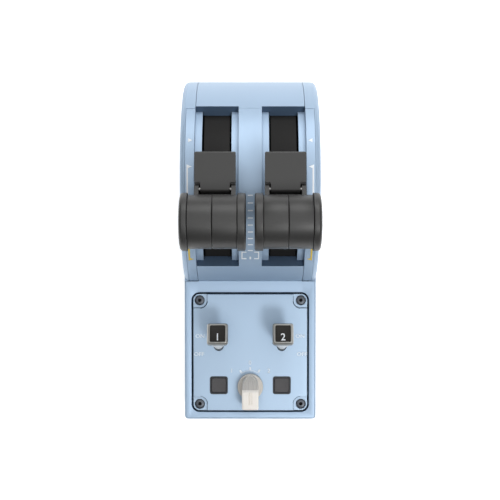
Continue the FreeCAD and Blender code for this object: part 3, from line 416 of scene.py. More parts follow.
def loftShape(loops):
    # a closed solid through loops of equal length, with flat ends
    shape = bmesh.new()
    rings = [[shape.verts.new(point) for point in loop] for loop in loops]
    count = len(loops[0])
    for low, high in zip(rings, rings[1:]):
        for i in range(count):
            shape.faces.new((low[i], low[(i + 1) % count], high[(i + 1) % count], high[i]))
    shape.faces.new(list(reversed(rings[0])))
    shape.faces.new(rings[-1])
    return shape


def softenedCopy(node, width, segments=2, crease=30, keepClear=2.2, shadeFaces=None, rim=None):
    # the CAD piece again, with its sharp edges rounded where there is room for it, and the faces that lie
    # in shade given a dark navy painted shade
    shape = bmesh.new()
    shape.from_mesh(nodes[node].data)
    bmesh.ops.remove_doubles(shape, verts=shape.verts, dist=2e-6)
    bmesh.ops.dissolve_limit(shape, angle_limit=math.radians(0.3), verts=shape.verts, edges=shape.edges)
    rimFaces = []
    if rim is not None:
        rimEdges = [e for e in shape.edges if len(e.link_faces) == 2
                    and e.calc_face_angle(0) > math.radians(crease) and rim(e)]
        rimFaces = bmesh.ops.bevel(shape, geom=rimEdges, offset=0.45 * mm, offset_type="OFFSET", segments=2,
                                   profile=0.5, affect="EDGES", clamp_overlap=False)["faces"]
        print("rim of", node, len(rimEdges), "edges")
    roomy = {v for v in shape.verts if all(e.calc_length() > keepClear * width for e in v.link_edges)}
    rims = [e for e in shape.edges if len(e.link_faces) == 2 and e.calc_face_angle(0) > math.radians(crease)
            and e.verts[0] in roomy and e.verts[1] in roomy]
    before = shape.calc_volume()
    made = bmesh.ops.bevel(shape, geom=rims, offset=width, offset_type="OFFSET", segments=segments,
                           profile=0.5, affect="EDGES", clamp_overlap=True)
    looks = [finishFor(node)]
    # faces in recesses and gaps take the painted shade in place of their paint
    if shadeFaces is not None:
        looks.append(finish["paintedShadeNavy"])
        for face in shape.faces:
            if shadeFaces(face.calc_center_median(), face.normal):
                face.material_index = 1
    print("softened", node, len(rims), "edges,", round((before - shape.calc_volume()) * 1e9, 2), "mm3 off")
    return placePiece(node + "_soft", shape, looks, nodeBody[node], [node], rounded=made["faces"])


# trees of geometry nodes for what repeats
class NodeTree:
    # a tree of geometry nodes with named inputs
    def __init__(self, name, inputs):
        self.tree = bpy.data.node_groups.new(name, "GeometryNodeTree")
        self.tree.interface.new_socket("Geometry", in_out="INPUT", socket_type="NodeSocketGeometry")
        self.ids = {}
        for label, kind, value in inputs:
            socket = self.tree.interface.new_socket(label, in_out="INPUT", socket_type=kind)
            if value is not None:
                socket.default_value = value
            self.ids[label] = socket.identifier
        self.tree.interface.new_socket("Geometry", in_out="OUTPUT", socket_type="NodeSocketGeometry")
        self.start = self.tree.nodes.new("NodeGroupInput")
        self.end = self.tree.nodes.new("NodeGroupOutput")

    def add(self, kind, links=None, values=None, **settings):
        node = self.tree.nodes.new(kind)
        for key, value in settings.items():
            setattr(node, key, value)
        for key, value in (values or {}).items():
            node.inputs[key].default_value = value
        for key, source in (links or {}).items():
            self.tree.links.new(source, node.inputs[key])
        return node

    def math(self, operation, a, b=0.0, c=0.0):
        node = self.tree.nodes.new("ShaderNodeMath")
        node.operation = operation
        for i, value in enumerate((a, b, c)):
            if isinstance(value, (int, float)):
                node.inputs[i].default_value = value
            else:
                self.tree.links.new(value, node.inputs[i])
        return node.outputs["Value"]

    def roundDrum(self, x, angle, radius):
        # a point at this angle and radius round the drum
        return self.add("ShaderNodeCombineXYZ", {
            "X": x, "Y": self.math("MULTIPLY", self.math("SINE", angle), radius),
            "Z": self.math("MULTIPLY", self.math("COSINE", angle), radius)}).outputs["Vector"]

    def close(self, geometry):
        realized = self.add("GeometryNodeRealizeInstances", {"Geometry": geometry})
        painted = self.add("GeometryNodeSetMaterial", {"Geometry": realized.outputs["Geometry"],
                                                       "Material": self.start.outputs["Material"]})
        self.tree.links.new(painted.outputs["Geometry"], self.end.inputs["Geometry"])
        return self


def growPiece(name, nodeTree, values, body, stands=(), points=((0, 0, 0),), place=None, crease=32,
              dark=None):
    # runs a tree over loose points and keeps the result as a plain mesh
    seed = bpy.data.meshes.new(name + "_seed")
    seed.from_pydata([Vector(p) for p in points], [], [])
    carrier = addObject(name + "_seed", seed)
    modifier = carrier.modifiers.new("grow", "NODES")
    modifier.node_group = nodeTree.tree
    for label, value in values.items():
        modifier[nodeTree.ids[label]] = value
    shape = bmesh.new()
    shape.from_mesh(frozenMesh(carrier))
    bmesh.ops.remove_doubles(shape, verts=shape.verts, dist=1e-6)
    looks = [values["Material"]]
    # faces inside the screw sockets take a near-black painted shade
    if dark is not None:
        looks.append(finish["socketShade"])
        for face in shape.faces:
            face.material_index = 1 if dark(face.calc_center_median()) else 0
    piece = placePiece(name, shape, looks, body, stands, place, crease)
    print("grown", name, len(piece.data.polygons), "faces")
    return piece


def makeScrewTree():
    # a cap screw: head with a rounded rim, hexagon socket and shank
    t = NodeTree("socketScrew", [
        ("Head Radius", "NodeSocketFloat", 0.003), ("Head Height", "NodeSocketFloat", 0.0024),
        ("Rim", "NodeSocketFloat", 0.0004), ("Socket Radius", "NodeSocketFloat", 0.0016),
        ("Socket Depth", "NodeSocketFloat", 0.0014), ("Shank Radius", "NodeSocketFloat", 0.0015),
        ("Shank Length", "NodeSocketFloat", 0.012), ("Turn", "NodeSocketVector", None),
        ("Material", "NodeSocketMaterial", None)])
    s = t.start.outputs
    head = t.add("GeometryNodeMeshCylinder", {"Radius": s["Head Radius"], "Depth": s["Head Height"]},
                 {"Vertices": 40, "Side Segments": 16})
    where = t.add("GeometryNodeInputPosition")
    axes = t.add("ShaderNodeSeparateXYZ", {"Vector": where.outputs["Position"]})
    fromTop = t.math("SUBTRACT", t.math("MULTIPLY", s["Head Height"], 0.5), axes.outputs["Z"])
    near = t.math("MAXIMUM", t.math("SUBTRACT", 1.0, t.math("DIVIDE", fromTop, s["Rim"])), 0.0)
    bend = t.math("SUBTRACT", 1.0, t.math("SQRT", t.math("SUBTRACT", 1.0, t.math("MULTIPLY", near, near))))
    pull = t.math("MULTIPLY", t.math("MULTIPLY", bend, t.math("DIVIDE", s["Rim"], s["Head Radius"])), -1.0)
    shift = t.add("ShaderNodeCombineXYZ", {"X": t.math("MULTIPLY", axes.outputs["X"], pull),
                                           "Y": t.math("MULTIPLY", axes.outputs["Y"], pull)})
    rounded = t.add("GeometryNodeSetPosition", {"Geometry": head.outputs["Mesh"],
                                                "Offset": shift.outputs["Vector"]})
    shank = t.add("GeometryNodeMeshCylinder", {"Radius": s["Shank Radius"], "Depth": s["Shank Length"]},
                  {"Vertices": 28})
    drop = t.add("ShaderNodeCombineXYZ", {"Z": t.math("MULTIPLY", t.math(
        "ADD", t.math("SUBTRACT", s["Shank Length"], 0.0002), s["Head Height"]), -0.5)})
    shankLow = t.add("GeometryNodeTransform", {"Geometry": shank.outputs["Mesh"],
                                               "Translation": drop.outputs["Vector"]})
    blank = t.add("GeometryNodeMeshBoolean", {}, operation="UNION", solver="EXACT")
    t.tree.links.new(rounded.outputs["Geometry"], blank.inputs["Mesh 2"])
    t.tree.links.new(shankLow.outputs["Geometry"], blank.inputs["Mesh 2"])
    cutter = t.add("GeometryNodeMeshCylinder", {"Radius": s["Socket Radius"],
                                                "Depth": t.math("MULTIPLY", s["Socket Depth"], 2.0)},
                   {"Vertices": 6})
    lift = t.add("ShaderNodeCombineXYZ", {"Z": t.math("MULTIPLY", s["Head Height"], 0.5)})
    cutterHigh = t.add("GeometryNodeTransform", {"Geometry": cutter.outputs["Mesh"],
                                                 "Translation": lift.outputs["Vector"]})
    screw = t.add("GeometryNodeMeshBoolean", {"Mesh 1": blank.outputs["Mesh"],
                                              "Mesh 2": cutterHigh.outputs["Geometry"]},
                  operation="DIFFERENCE", solver="EXACT")
    sunk = t.add("ShaderNodeCombineXYZ", {"Z": t.math("MULTIPLY", s["Head Height"], -0.5)})
    topped = t.add("GeometryNodeTransform", {"Geometry": screw.outputs["Mesh"],
                                             "Translation": sunk.outputs["Vector"]})
    dots = t.add("GeometryNodeMeshToPoints", {"Mesh": s["Geometry"]})
    spread = t.add("GeometryNodeInstanceOnPoints", {"Points": dots.outputs["Points"],
                                                    "Instance": topped.outputs["Geometry"],
                                                    "Rotation": s["Turn"]})
    return t.close(spread.outputs["Instances"])


def makeArcMarkTree():
    # flat marks set one after another round the drum, each lying on its surface
    t = NodeTree("arcMarks", [
        ("Radius", "NodeSocketFloat", 0.0765), ("First Angle", "NodeSocketFloat", 0.0),
        ("Step", "NodeSocketFloat", 0.1), ("Count", "NodeSocketInt", 3),
        ("Aside", "NodeSocketFloat", 0.0), ("Width", "NodeSocketFloat", 0.003),
        ("Length", "NodeSocketFloat", 0.0007), ("Thickness", "NodeSocketFloat", 0.0001),
        ("Material", "NodeSocketMaterial", None)])
    s = t.start.outputs
    row = t.add("GeometryNodeMeshLine", {"Count": s["Count"]}, {"Offset": (0, 0, 0)})
    index = t.add("GeometryNodeInputIndex")
    angle = t.math("MULTIPLY_ADD", index.outputs["Index"], s["Step"], s["First Angle"])
    placed = t.add("GeometryNodeSetPosition", {"Geometry": row.outputs["Mesh"],
                                               "Position": t.roundDrum(s["Aside"], angle, s["Radius"])})
    size = t.add("ShaderNodeCombineXYZ", {"X": s["Width"], "Y": s["Length"], "Z": s["Thickness"]})
    mark = t.add("GeometryNodeMeshCube", {"Size": size.outputs["Vector"]})
    dots = t.add("GeometryNodeMeshToPoints", {"Mesh": placed.outputs["Geometry"]})
    lean = t.add("ShaderNodeCombineXYZ", {"X": t.math("MULTIPLY", angle, -1.0)})
    spread = t.add("GeometryNodeInstanceOnPoints", {"Points": dots.outputs["Points"],
                                                    "Instance": mark.outputs["Mesh"],
                                                    "Rotation": lean.outputs["Vector"]})
    return t.close(spread.outputs["Instances"])


def makeArcBandTree():
    # a thin band that follows the drum round
    t = NodeTree("arcBand", [
        ("Radius", "NodeSocketFloat", 0.0765), ("From", "NodeSocketFloat", 0.0),
        ("Sweep", "NodeSocketFloat", 0.4), ("Aside", "NodeSocketFloat", 0.0),
        ("Width", "NodeSocketFloat", 0.0012), ("Thickness", "NodeSocketFloat", 0.0001),
        ("Steps", "NodeSocketInt", 40), ("Material", "NodeSocketMaterial", None)])
    s = t.start.outputs
    size = t.add("ShaderNodeCombineXYZ", {"X": s["Width"], "Y": s["Sweep"], "Z": s["Thickness"]})
    flat = t.add("GeometryNodeMeshCube", {"Size": size.outputs["Vector"], "Vertices Y": s["Steps"]})
    where = t.add("GeometryNodeInputPosition")
    axes = t.add("ShaderNodeSeparateXYZ", {"Vector": where.outputs["Position"]})
    angle = t.math("ADD", axes.outputs["Y"], t.math("MULTIPLY_ADD", s["Sweep"], 0.5, s["From"]))
    radius = t.math("ADD", s["Radius"], axes.outputs["Z"])
    aside = t.math("ADD", axes.outputs["X"], s["Aside"])
    bent = t.add("GeometryNodeSetPosition", {"Geometry": flat.outputs["Mesh"],
                                             "Position": t.roundDrum(aside, angle, radius)})
    return t.close(bent.outputs["Geometry"])


screwTree = makeScrewTree()
arcMarkTree = makeArcMarkTree()
arcBandTree = makeArcBandTree()
print("geometry trees made")


# toggle switches
toggleLook = {
    "bore": 2.35, "boreTop": 28.0, "noseLow": 4.2, "side": 7.55, "front": -7.7, "back": 7.7, "lean": 3.4,
    "headLow": 28.6, "rim": 5.45, "labelFront": -6.15, "labelBack": 5.85,
    "labelTop": 33.3, "digitHeight": 5.2, "digitDown": 2.6,
    "nose": ((3.2, 4.2), (3.5, 4.5), (3.62, 5.2)),
    "neck": ((4.3, -4.2, 4.3, 4.1, 9.0), (5.1, -4.9, 5.1, 3.6, 14.0), (5.9, -5.6, 5.9, 3.1, 19.0),
             (6.6, -6.3, 6.6, 2.6, 24.0), (7.1, -6.9, 7.05, 2.2, 27.6), (7.2, -7.0, 7.15, 2.1, 28.6)),
    "head": ((0.2, 1.9, 28.6), (0.04, 1.85, 28.75), (0.0, 1.8, 29.0), (0.0, 1.8, 31.9), (0.1, 1.75, 32.2),
             (0.32, 1.6, 32.55), (0.7, 1.3, 33.2), (0.85, 1.2, 33.42), (1.0, 1.1, 33.5)),
    "pocket": ((0.25, 1.0, 33.5), (0.06, 0.9, 33.4), (0.0, 0.85, 33.25), (0.0, 0.85, 32.75)),
}

# the caps lean further than their stems, about the low end of the nose
toggleLean = Matrix.Identity(4)
toggleLean[1][2] = math.tan(math.radians(toggleLook["lean"]))
toggleLean[1][3] = -toggleLook["noseLow"] * mm * toggleLean[1][2]


def makeToggleCap(k):
    t = toggleLook
    loops = []

    def ring(side, front, back, radius, z):
        halfY = (back - front) / 2
        radius = min(radius, side, halfY) * 0.999
        loops.append(roundedLoop(side * mm, halfY * mm, radius * mm, z * mm, steps=7,
                                 y=(back + front) / 2 * mm))

    bore = ((t["bore"], t["boreTop"]), (t["bore"], t["noseLow"] + 0.25), (t["bore"] + 0.2, t["noseLow"]))
    for radius, z in bore + t["nose"]:
        ring(radius, -radius, radius, radius, z)
    for row in t["neck"]:
        ring(*row)
    for inset, corner, z in t["head"]:
        ring(t["side"] - inset, t["front"] + inset, t["back"] - inset, corner, z)
    for inset, corner, z in t["pocket"]:
        ring(t["rim"] + inset, t["labelFront"] - inset - 0.05, t["labelBack"] + inset + 0.05, corner, z)
    shape = loftShape(loops)
    # the neck and nose below the head take the painted highlight
    for face in shape.faces:
        face.material_index = 1 if face.calc_center_median().z < t["headLow"] * mm else 0
    return placePiece(f"toggle_cap_{k}_dressed", shape, [finish["capSilver"], finish["noseSilverPaintedHighlight"]],
                      f"toggle_head_{k}", [f"toggle_cap_{k}"], togglePlace[k] @ toggleLean, crease=38)


def makeToggleLabel(k):
    t = toggleLook
    middle = (t["labelBack"] + t["labelFront"]) / 2
    halfX, halfY = t["rim"] - 0.05, (t["labelBack"] - t["labelFront"]) / 2
    loops = [roundedLoop((halfX - d) * mm, (halfY - d) * mm, r * mm, z * mm, steps=5, y=middle * mm)
             for d, r, z in ((0, 0.8, 32.8), (0, 0.8, t["labelTop"] - 0.12), (0.12, 0.75, t["labelTop"]),
                             (0.5, 0.6, t["labelTop"]), (0.6, 0.55, t["labelTop"] - 0.05))]
    return placePiece(f"toggle_label_{k}_dressed", loftShape(loops), finish["labelBlack"],
                      f"toggle_head_{k}", [f"toggle_label_{k}"], togglePlace[k] @ toggleLean)


# flat prints
def textShape(words, height, width=None, centre=(0.0, 0.0), low=0.0, thick=0.00005, weight=0.0003):
    # words as a thin closed shape of the wanted cap height and width
    curve = bpy.data.curves.new("words", "FONT")
    curve.body = words
    curve.size = 0.01
    curve.extrude = thick / 2
    curve.offset = weight
    curve.resolution_u = 5
    shape = bmesh.new()
    shape.from_mesh(frozenMesh(addObject("words", curve)))
    bmesh.ops.remove_doubles(shape, verts=shape.verts, dist=1e-8)
    least = Vector([min(v.co[i] for v in shape.verts) for i in range(3)])
    most = Vector([max(v.co[i] for v in shape.verts) for i in range(3)])
    span = most - least
    sy = height / span.y
    sx = width / span.x if width else sy
    middle = (least + most) / 2
    for v in shape.verts:
        v.co = Vector(((v.co.x - middle.x) * sx + centre[0], (v.co.y - middle.y) * sy + centre[1],
                       v.co.z - least.z + low))
    return shape


def slabShape(corners, low, thick):
    # a thin plate with the given corners in plan
    return loftShape([[(x, y, z) for x, y in corners] for z in (low, low + thick)])


def joinShapes(shapes):
    whole = bmesh.new()
    for shape in shapes:
        mesh = bpy.data.meshes.new("part")
        shape.to_mesh(mesh)
        shape.free()
        whole.from_mesh(mesh)
        bpy.data.meshes.remove(mesh)
    return whole


def makeToggleDigit(k):
    shape = textShape(str(k), toggleLook["digitHeight"] * mm, centre=(0, -toggleLook["digitDown"] * mm),
                      low=(toggleLook["labelTop"] - 0.07) * mm, thick=0.1 * mm, weight=0.0001)
    return placePiece(f"toggle_digit_{k}", shape, finish["printWhite"], f"toggle_head_{k}",
                      place=togglePlace[k] @ toggleLean)


for k in (1, 2):
    makeToggleCap(k)
    makeToggleLabel(k)
    makeToggleDigit(k)
print("toggles dressed")


# mode knob
knobLook = {
    "discLow": 0.35, "discTop": 5.0, "shaftRadius": 3.0, "shaftLow": -13.7,
    "disc": ((9.1, 0.35), (9.4, 0.5), (9.5, 0.8), (9.5, 4.5), (9.42, 4.8), (9.2, 4.96), (8.9, 5.0),
             (8.2, 5.0), (8.0, 4.85), (7.2, 4.85)),
    "finHalf": 6.1, "tail": -14.8, "tailTop": 17.9, "tailRound": 0.8, "crest": -1.6, "crestTop": 19.5,
    "crestBlend": 1.7, "crestLift": 0.12, "nose": 8.9, "noseTop": 5.0, "archFrom": -0.5, "archPower": 2.4,
    "edge": 1.2, "edgeSteps": 5, "acrossSteps": 48, "flutePitch": 2.03, "fluteDepth": 0.6,
    "grooveInner": 0.6, "grooveHalf": 1.2, "grooveDepth": 0.9, "grooveFrom": -10.8, "grooveTo": -1.8,
}


def finTop(y):
    # height of the fin along the knob: a long top, a rounded crest and a slope
    k = knobLook
    slope = (k["crestTop"] - k["noseTop"]) / (k["crest"] - k["nose"])
    rise = (k["crestTop"] - k["tailTop"]) / (k["crest"] - k["tail"])
    flat = k["tailTop"] + (y - k["tail"]) * rise
    down = k["noseTop"] + (y - k["nose"]) * slope
    return 0.5 * (flat + down - math.sqrt((flat - down) ** 2 + k["crestBlend"])) + k["crestLift"]


def finHalfWidth(y):
    # the fin keeps its width along the top and closes in an arch on the slope
    k = knobLook
    run = max(0.0, (y - k["archFrom"]) / (k["nose"] - k["archFrom"]))
    return k["finHalf"] * max(0.0, 1 - run ** k["archPower"]) ** 0.5


def makeKnob():
    k = knobLook

    def circle(r, z):
        return roundedLoop(r * mm, r * mm, r * mm * 0.9999, z * mm, steps=12)

    shaft = ((k["shaftRadius"], k["shaftLow"]), (k["shaftRadius"], k["discLow"]))
    disc = loftShape([circle(r, z) for r, z in shaft + k["disc"]])
    stations = [k["tail"] + d for d in (0.0, 0.12, 0.35, 0.8)]
    stations += [-13.4, -12.2, k["grooveFrom"] - 0.02, k["grooveFrom"] + 0.02, -9, -7, -5, -3.4,
                 k["grooveTo"] - 0.02, k["grooveTo"] + 0.02]
    stations += [-1.4 + 0.4 * i for i in range(22)]
    stations += [7.7, 8.0, 8.3, 8.5, 8.7, 8.8]
    rings = []
    for y in stations:
        tailRound = min(1.0, (y - k["tail"]) / k["tailRound"])
        inset = k["tailRound"] * (1 - math.sqrt(max(0.0, 1 - (1 - tailRound) ** 2)))
        half = max(finHalfWidth(y) - inset, 0.15)
        top = finTop(y) - inset * 0.8
        low = 4.6 if y > -9.0 else 5.0 + inset
        edge = min(k["edge"], half * 0.45, (top - low) * 0.45)
        grooved = k["grooveFrom"] <= y <= k["grooveTo"]
        fluted = k["fluteDepth"] * min(max((y + 1.5) / 1.6, 0.0), 1.0) * min(1.0, half / 3)
        ring = [(half, low)]
        for step in range(k["edgeSteps"] + 1):
            angle = math.pi / 2 * step / k["edgeSteps"]
            ring.append((half - edge + edge * math.cos(angle), top - edge + edge * math.sin(angle)))
        flat = half - edge
        for i in range(1, k["acrossSteps"]):
            x = flat * (1 - 2 * i / k["acrossSteps"])
            dip = fluted * 0.5 * (1 + math.cos(2 * math.pi * x / k["flutePitch"] * k["finHalf"] / half))
            fadeSide = min(1.0, (flat - abs(x)) / 0.5)
            if grooved and k["grooveInner"] < abs(x) < k["grooveHalf"]:
                dip = k["grooveDepth"]
            ring.append((x, top - dip * (fadeSide if not grooved else 1)))
        for step in range(k["edgeSteps"] + 1):
            angle = math.pi / 2 * (1 - step / k["edgeSteps"])
            ring.append((-half + edge - edge * math.cos(angle), top - edge + edge * math.sin(angle)))
        ring.append((-half, low))
        rings.append([Vector((x * mm, y * mm, z * mm)) for x, z in ring])
    knob = joinShapes([disc, loftShape(rings)])
    bmesh.ops.recalc_face_normals(knob, faces=knob.faces)
    # the shaft, the disc and the fin's slope down to the nose take the painted shade
    for face in knob.faces:
        middle = face.calc_center_median()
        low = middle.z < (k["discTop"] + 0.02) * mm
        face.material_index = 1 if low or (middle.y > -0.4 * mm and face.normal.y > 0.3) else 0
    return placePiece("mode_knob_dressed", knob, [finish["knobCream"], finish["knobShade"]], "mode_knob",
                      ["mode_knob"], knobPlace, crease=40)


makeKnob()
print("knob dressed")


# push buttons
buttonLook = {
    "aside": 23.5, "back": 24.6,
    "rings": ((5.1, 1.0, -7.0), (5.4, 1.2, -6.7), (5.4, 1.2, -0.35), (5.36, 1.2, -0.16), (5.24, 1.15, 0.0),
              (5.05, 1.1, 0.08), (4.8, 1.0, 0.1), (4.45, 0.9, 0.06), (3.6, 0.8, -0.06), (2.4, 0.7, -0.13)),
}


def makePushButton(k, sign):
    x, y = sign * buttonLook["aside"] * mm, -buttonLook["back"] * mm
    loops = [roundedLoop(h * mm, h * mm, r * mm, z * mm, steps=6, x=x, y=y)
             for h, r, z in buttonLook["rings"]]
    return placePiece(f"push_button_{k}_dressed", loftShape(loops), finish["buttonGrey"], f"button_{k}",
                      [f"push_button_{k}"], panelPlace, crease=50)


for k, sign in ((1, -1), (2, 1)):
    makePushButton(k, sign)
print("buttons dressed")


# screws
panelTurn = panelPlace.to_euler()
panelScrewLook = {"Head Radius": 0.00345, "Head Height": 0.0024, "Rim": 0.0005, "Socket Radius": 0.0014,
                  "Socket Depth": 0.0021, "Shank Radius": 0.0015, "Shank Length": 0.012,
                  "Turn": tuple(panelTurn), "Material": finish["screwBlack"]}
panelScrewAt = {"aside": 37.8, "ahead": 38.89, "low": -2.5}
panelScrewSpots = [Vector((sx * panelScrewAt["aside"] * mm, sy * panelScrewAt["ahead"] * mm,
                           panelScrewAt["low"] * mm)) for sx in (-1, 1) for sy in (-1, 1)]


def inPanelSocket(point):
    here = panelPlace.inverted() @ point
    near = min((Vector((here.x, here.y)) - Vector((p.x, p.y))).length for p in panelScrewSpots)
    return near < panelScrewLook["Socket Radius"] + 0.00001 and -4.8 * mm < here.z < -2.51 * mm


growPiece("panel_screws_dressed", screwTree, panelScrewLook, "housing", ["panel_screws"],
          [panelPlace @ p for p in panelScrewSpots], crease=40, dark=inPanelSocket)


# prints on the panel and round the drum
printLook = {"capHeight": 2.9, "thick": 0.05, "low": -0.01, "onWidth": 6.7, "offWidth": 7.8,
             "on": ((-37.5, 12.3), (37.1, 12.3)), "off": ((-38.2, -1.2), (38.6, -1.2)),
             "tickRadius": 13.0, "tickLength": 2.3, "tickWidth": 1.4, "ticks": (-33, 0, 30),
             "arcRadius": 11.5, "arcHalfWidth": 0.2, "numberHeight": 3.2,
             "numbers": (("1", -13.9, -13.6), ("0", -0.2, -7.6), ("2", 13.9, -13.6))}


def makePanelPrints():
    p = printLook
    knobY = -knobBack
    shapes = []
    for word in ("on", "off"):
        for x, y in p[word]:
            shapes.append(textShape(word.upper(), p["capHeight"] * mm, p[word + "Width"] * mm,
                                    (x * mm, y * mm), p["low"] * mm, p["thick"] * mm))
    for degrees in p["ticks"]:
        a = math.radians(degrees)
        ahead = Vector((math.sin(a), math.cos(a)))
        aside = Vector((ahead.y, -ahead.x))
        middle = Vector((0, knobY)) + ahead * p["tickRadius"]
        corners = [middle + ahead * (v * p["tickLength"] / 2) + aside * (u * p["tickWidth"] / 2)
                   for u, v in ((-1, -1), (1, -1), (1, 1), (-1, 1))]
        shapes.append(slabShape([c * mm for c in corners], p["low"] * mm, p["thick"] * mm))
    arc = []
    for shift in (-p["arcHalfWidth"], p["arcHalfWidth"]):
        r = p["arcRadius"] + shift
        ring = [(r * math.sin(math.radians(a)) * mm, (knobY + r * math.cos(math.radians(a))) * mm)
                for a in range(-35, 36, 5)]
        arc += ring if not arc else ring[::-1]
    shapes.append(slabShape(arc, p["low"] * mm, p["thick"] * mm))
    for word, x, y in p["numbers"]:
        shapes.append(textShape(word, p["numberHeight"] * mm, None, (x * mm, y * mm), p["low"] * mm,
                                p["thick"] * mm))
    placePiece("panel_prints", joinShapes(shapes), finish["printPale"], "housing", place=panelPlace)


makePanelPrints()

drumMiddle = Matrix.Translation(axlePoint)
drumPrint = {"rise": 0.00003, "thick": 0.0001}


def drumBand(name, start, end, aside, width, look):
    growPiece(name, arcBandTree, {
        "Radius": drumRadius + drumPrint["rise"], "From": math.radians(start),
        "Sweep": math.radians(end - start), "Aside": aside * mm, "Width": width * mm,
        "Thickness": drumPrint["thick"], "Steps": max(4, int(abs(end - start))), "Material": look},
        "housing", place=drumMiddle)


def drumMarks(name, first, step, count, aside, width, length, look):
    growPiece(name, arcMarkTree, {
        "Radius": drumRadius + drumPrint["rise"], "First Angle": math.radians(first),
        "Step": math.radians(step), "Count": count, "Aside": aside * mm, "Width": width * mm,
        "Length": length * mm, "Thickness": drumPrint["thick"], "Material": look},
        "housing", place=drumMiddle)


def drumPointer(name, degrees, base, apex, height, look):
    # a triangle lying on the drum and pointing inwards
    corners = [Vector((base, -height / 2)) * mm, Vector((apex, 0)) * mm, Vector((base, height / 2)) * mm]
    flat = slabShape(corners, drumRadius + drumPrint["rise"] - drumPrint["thick"] / 2, drumPrint["thick"])
    place = drumMiddle @ Matrix.Rotation(-math.radians(degrees), 4, "X")
    placePiece(name, flat, look, "housing", place=place)


# name, start and end in degrees, distance aside, width, finish
sideBands = (("line", -12.0, 5.5, 43.5, 1.2, "printWhite"),
             ("reverse_line", -48.6, -20.0, 43.5, 1.2, "printYellow"))
gateBands = (("gate", -48.7, -42.9, 5.9, 0.8, "printWhite"),
             ("gate_top", -43.6, -42.9, 4.4, 3.4, "printWhite"),
             ("gate_foot", -48.7, -47.8, 4.4, 3.4, "printWhite"))
# name, place in degrees, distances aside of base and apex, height, finish
pointers = (("high", 19.3, 43.2, 40.3, 3.1, "printWhite"), ("low", 5.0, 44.1, 40.3, 3.1, "printWhite"),
            ("reverse", -48.6, 44.1, 40.3, 3.1, "printYellow"))
sides = (("left", -1), ("right", 1))
for side, sign in sides:
    for name, start, end, aside, width, look in sideBands:
        drumBand(f"drum_{name}_{side}", start, end, sign * aside, width, finish[look])
    for name, degrees, base, apex, height, look in pointers:
        drumPointer(f"drum_pointer_{name}_{side}", degrees, sign * base, sign * apex, height, finish[look])
drumMarks("drum_ticks", -9.9, -4.02, 9, 0.0, 3.6, 0.9, finish["printWhite"])
for side, sign in sides:
    for name, start, end, aside, width, look in gateBands:
        drumBand(f"drum_{name}_{side}", start, end, sign * aside, width, finish[look])
drumMarks("drum_pip", -47.7, 0.1, 1, 0.0, 1.2, 2.8, finish["printWhite"])
print("prints made")


# CAD pieces shown with softened edges; these limits pick what gets the dark navy painted shade and what is
# rounded on its own
paintLimit = {"slotInner": 8.0, "slotOuter": 39.0, "gapX": 43.9, "gapY": 45.0, "gapTop": -1.56,
              "padX": 42.3, "padY": 43.4, "padLow": -2.0, "padTop": -0.005, "rimX": 43.7, "rimY": 44.8,
              "rimInner": 38.0, "rimLow": 1.5, "rimSpread": 0.06}


def within(point, x, y):
    return abs(point.x) < paintLimit[x] * mm and abs(point.y) < paintLimit[y] * mm


# end walls inside the drum slots, which take the dark navy painted shade
def slotEnd(point, normal):
    arm = point - axlePoint
    arm.x = 0
    if arm.length < 1e-6:
        return False
    around = Vector((0, arm.z, -arm.y)).normalized()
    inSlot = paintLimit["slotInner"] * mm < abs(point.x) < paintLimit["slotOuter"] * mm
    return inSlot and arm.length < drumRadius - 0.1 * mm and abs(normal.dot(around)) > 0.6


# walls of the gap round the panel, which take the dark navy painted shade
def panelGap(point, normal):
    here = panelPlace.inverted() @ point
    return within(here, "gapX", "gapY") and here.z < paintLimit["gapTop"] * mm


# walls and rounded rims of the screw pads in the panel's corners, which take the dark navy painted shade
def padWall(point, normal):
    here = panelPlace.inverted() @ point
    across = abs((panelPlace.to_3x3().inverted() @ normal).z)
    atWall = paintLimit["padLow"] * mm < here.z < paintLimit["padTop"] * mm
    return across < 0.97 and atWall and within(here, "padX", "padY")


def pocketRim(edge):
    # the edge of the deck round the panel, rounded on its own so that the gap, with its painted shade,
    # reads as a wider dark shadow line
    ends = [panelPlace.inverted() @ v.co for v in edge.verts]
    inner = paintLimit["rimInner"] * mm
    return all(abs(p.z + paintLimit["rimLow"] * mm) < paintLimit["rimSpread"] * mm
               and within(p, "rimX", "rimY") and (abs(p.x) > inner or abs(p.y) > inner) for p in ends)


softened = {
    "housing_front": (0.5, panelGap), "housing_side_1": (0.5, None), "housing_side_2": (0.5, None),
    "housing_rear": (0.5, slotEnd), "drum_cover": (0.3, slotEnd), "scale_plates": (0.25, None),
    "dust_strips": (0.15, None), "base_plate": (0.4, None), "base_feet": (0.4, None),
    "button_bezels": (0.2, None), "switch_panel": (0.3, padWall),
}
for side in (1, 2):
    for node, width in (("lever_fork", 0.15), ("lever_head", 0.5), ("grip_barrel_inner", 0.15),
                        ("grip_barrel_outer", 0.15), ("grip_flange", 0.15), ("grip_cap", 0.15),
                        ("disconnect_button", 0.15), ("reverse_paddle", 0.5)):
        softened[f"{node}_{side}"] = (width, None)
for node, (width, shadeFaces) in softened.items():
    softenedCopy(node, width * mm, shadeFaces=shadeFaces, rim=pocketRim if node == "housing_front" else None)
print("CAD pieces softened")


# stage, lights and camera
studio = {
    "floorSize": 3.0, "floorColour": (0.92, 0.92, 0.92, 1.0), "floorGlow": 0.6,
    "worldStrength": 0.2,
    "keyPlace": (0.36, -0.56, 1.24), "keySize": 0.36, "keyPower": 5.5,
    "rearPlace": (0.1, 1.15, 0.85), "rearSize": 0.9, "rearPower": 8.5,
    "overheadPlace": (0.1, 0.1, 1.35), "overheadSize": 1.5, "overheadPower": 8.0,
}


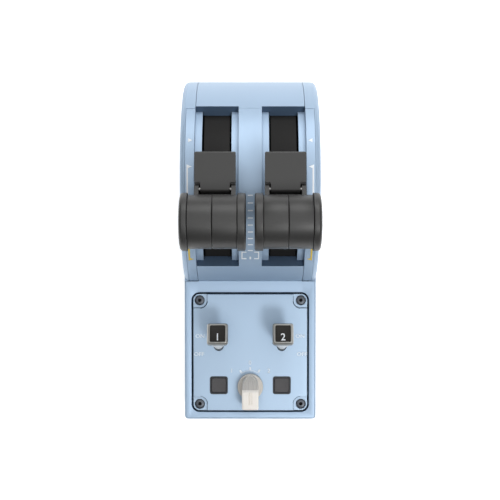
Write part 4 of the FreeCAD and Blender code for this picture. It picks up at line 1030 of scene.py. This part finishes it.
def makeFloor():
    mesh = bpy.data.meshes.new("floor")
    half = studio["floorSize"] / 2
    mesh.from_pydata([(-half, -half, 0), (half, -half, 0), (half, half, 0), (-half, half, 0)],
                     [], [(0, 1, 2, 3)])
    material = bpy.data.materials.new("paleFloor")
    material.use_nodes = True
    shader = material.node_tree.nodes["Principled BSDF"]
    shader.inputs["Base Color"].default_value = studio["floorColour"]
    shader.inputs["Roughness"].default_value = 0.9
    shader.inputs["Emission Color"].default_value = (1, 1, 1, 1)
    shader.inputs["Emission Strength"].default_value = studio["floorGlow"]
    mesh.materials.append(material)
    addObject("floor", mesh)


def addAreaLight(name, place, size, power, target):
    light = bpy.data.lights.new(name, "AREA")
    light.shape = "DISK"
    light.size = size
    light.energy = power
    lamp = addObject(name, light)
    lamp.location = place
    lamp.rotation_euler = (Vector(target) - Vector(place)).to_track_quat("-Z", "Y").to_euler()


def makeStudio():
    makeFloor()
    addAreaLight("keyLight", studio["keyPlace"], studio["keySize"], studio["keyPower"], (0, -0.04, 0.06))
    addAreaLight("overheadLight", studio["overheadPlace"], studio["overheadSize"], studio["overheadPower"],
                 (0, 0, 0.05))
    addAreaLight("rearLight", studio["rearPlace"], studio["rearSize"], studio["rearPower"], (0, 0.03, 0.06))
    world = bpy.data.worlds.new("paleRoom")
    world.use_nodes = True
    sky = world.node_tree.nodes["Background"]
    sky.inputs["Color"].default_value = (1, 1, 1, 1)
    sky.inputs["Strength"].default_value = studio["worldStrength"]
    bpy.context.scene.world = world
    bpy.context.scene.view_settings.view_transform = "Standard"
    print("studio made")


viewpoint = {"aboveDeck": 0.755, "lens": 72.9, "sensor": 36.0, "asideX": -0.0002, "asideY": -0.0004,
             "deckAboveAxle": 0.0198}


def makeCamera():
    deckHeight = axlePoint.z + viewpoint["deckAboveAxle"]
    camera = bpy.data.cameras.new("camera")
    camera.lens = viewpoint["lens"]
    camera.sensor_width = viewpoint["sensor"]
    seat = addObject("camera", camera)
    seat.location = (viewpoint["asideX"], viewpoint["asideY"], deckHeight + viewpoint["aboveDeck"])
    bpy.context.scene.camera = seat


makeStudio()
makeCamera()
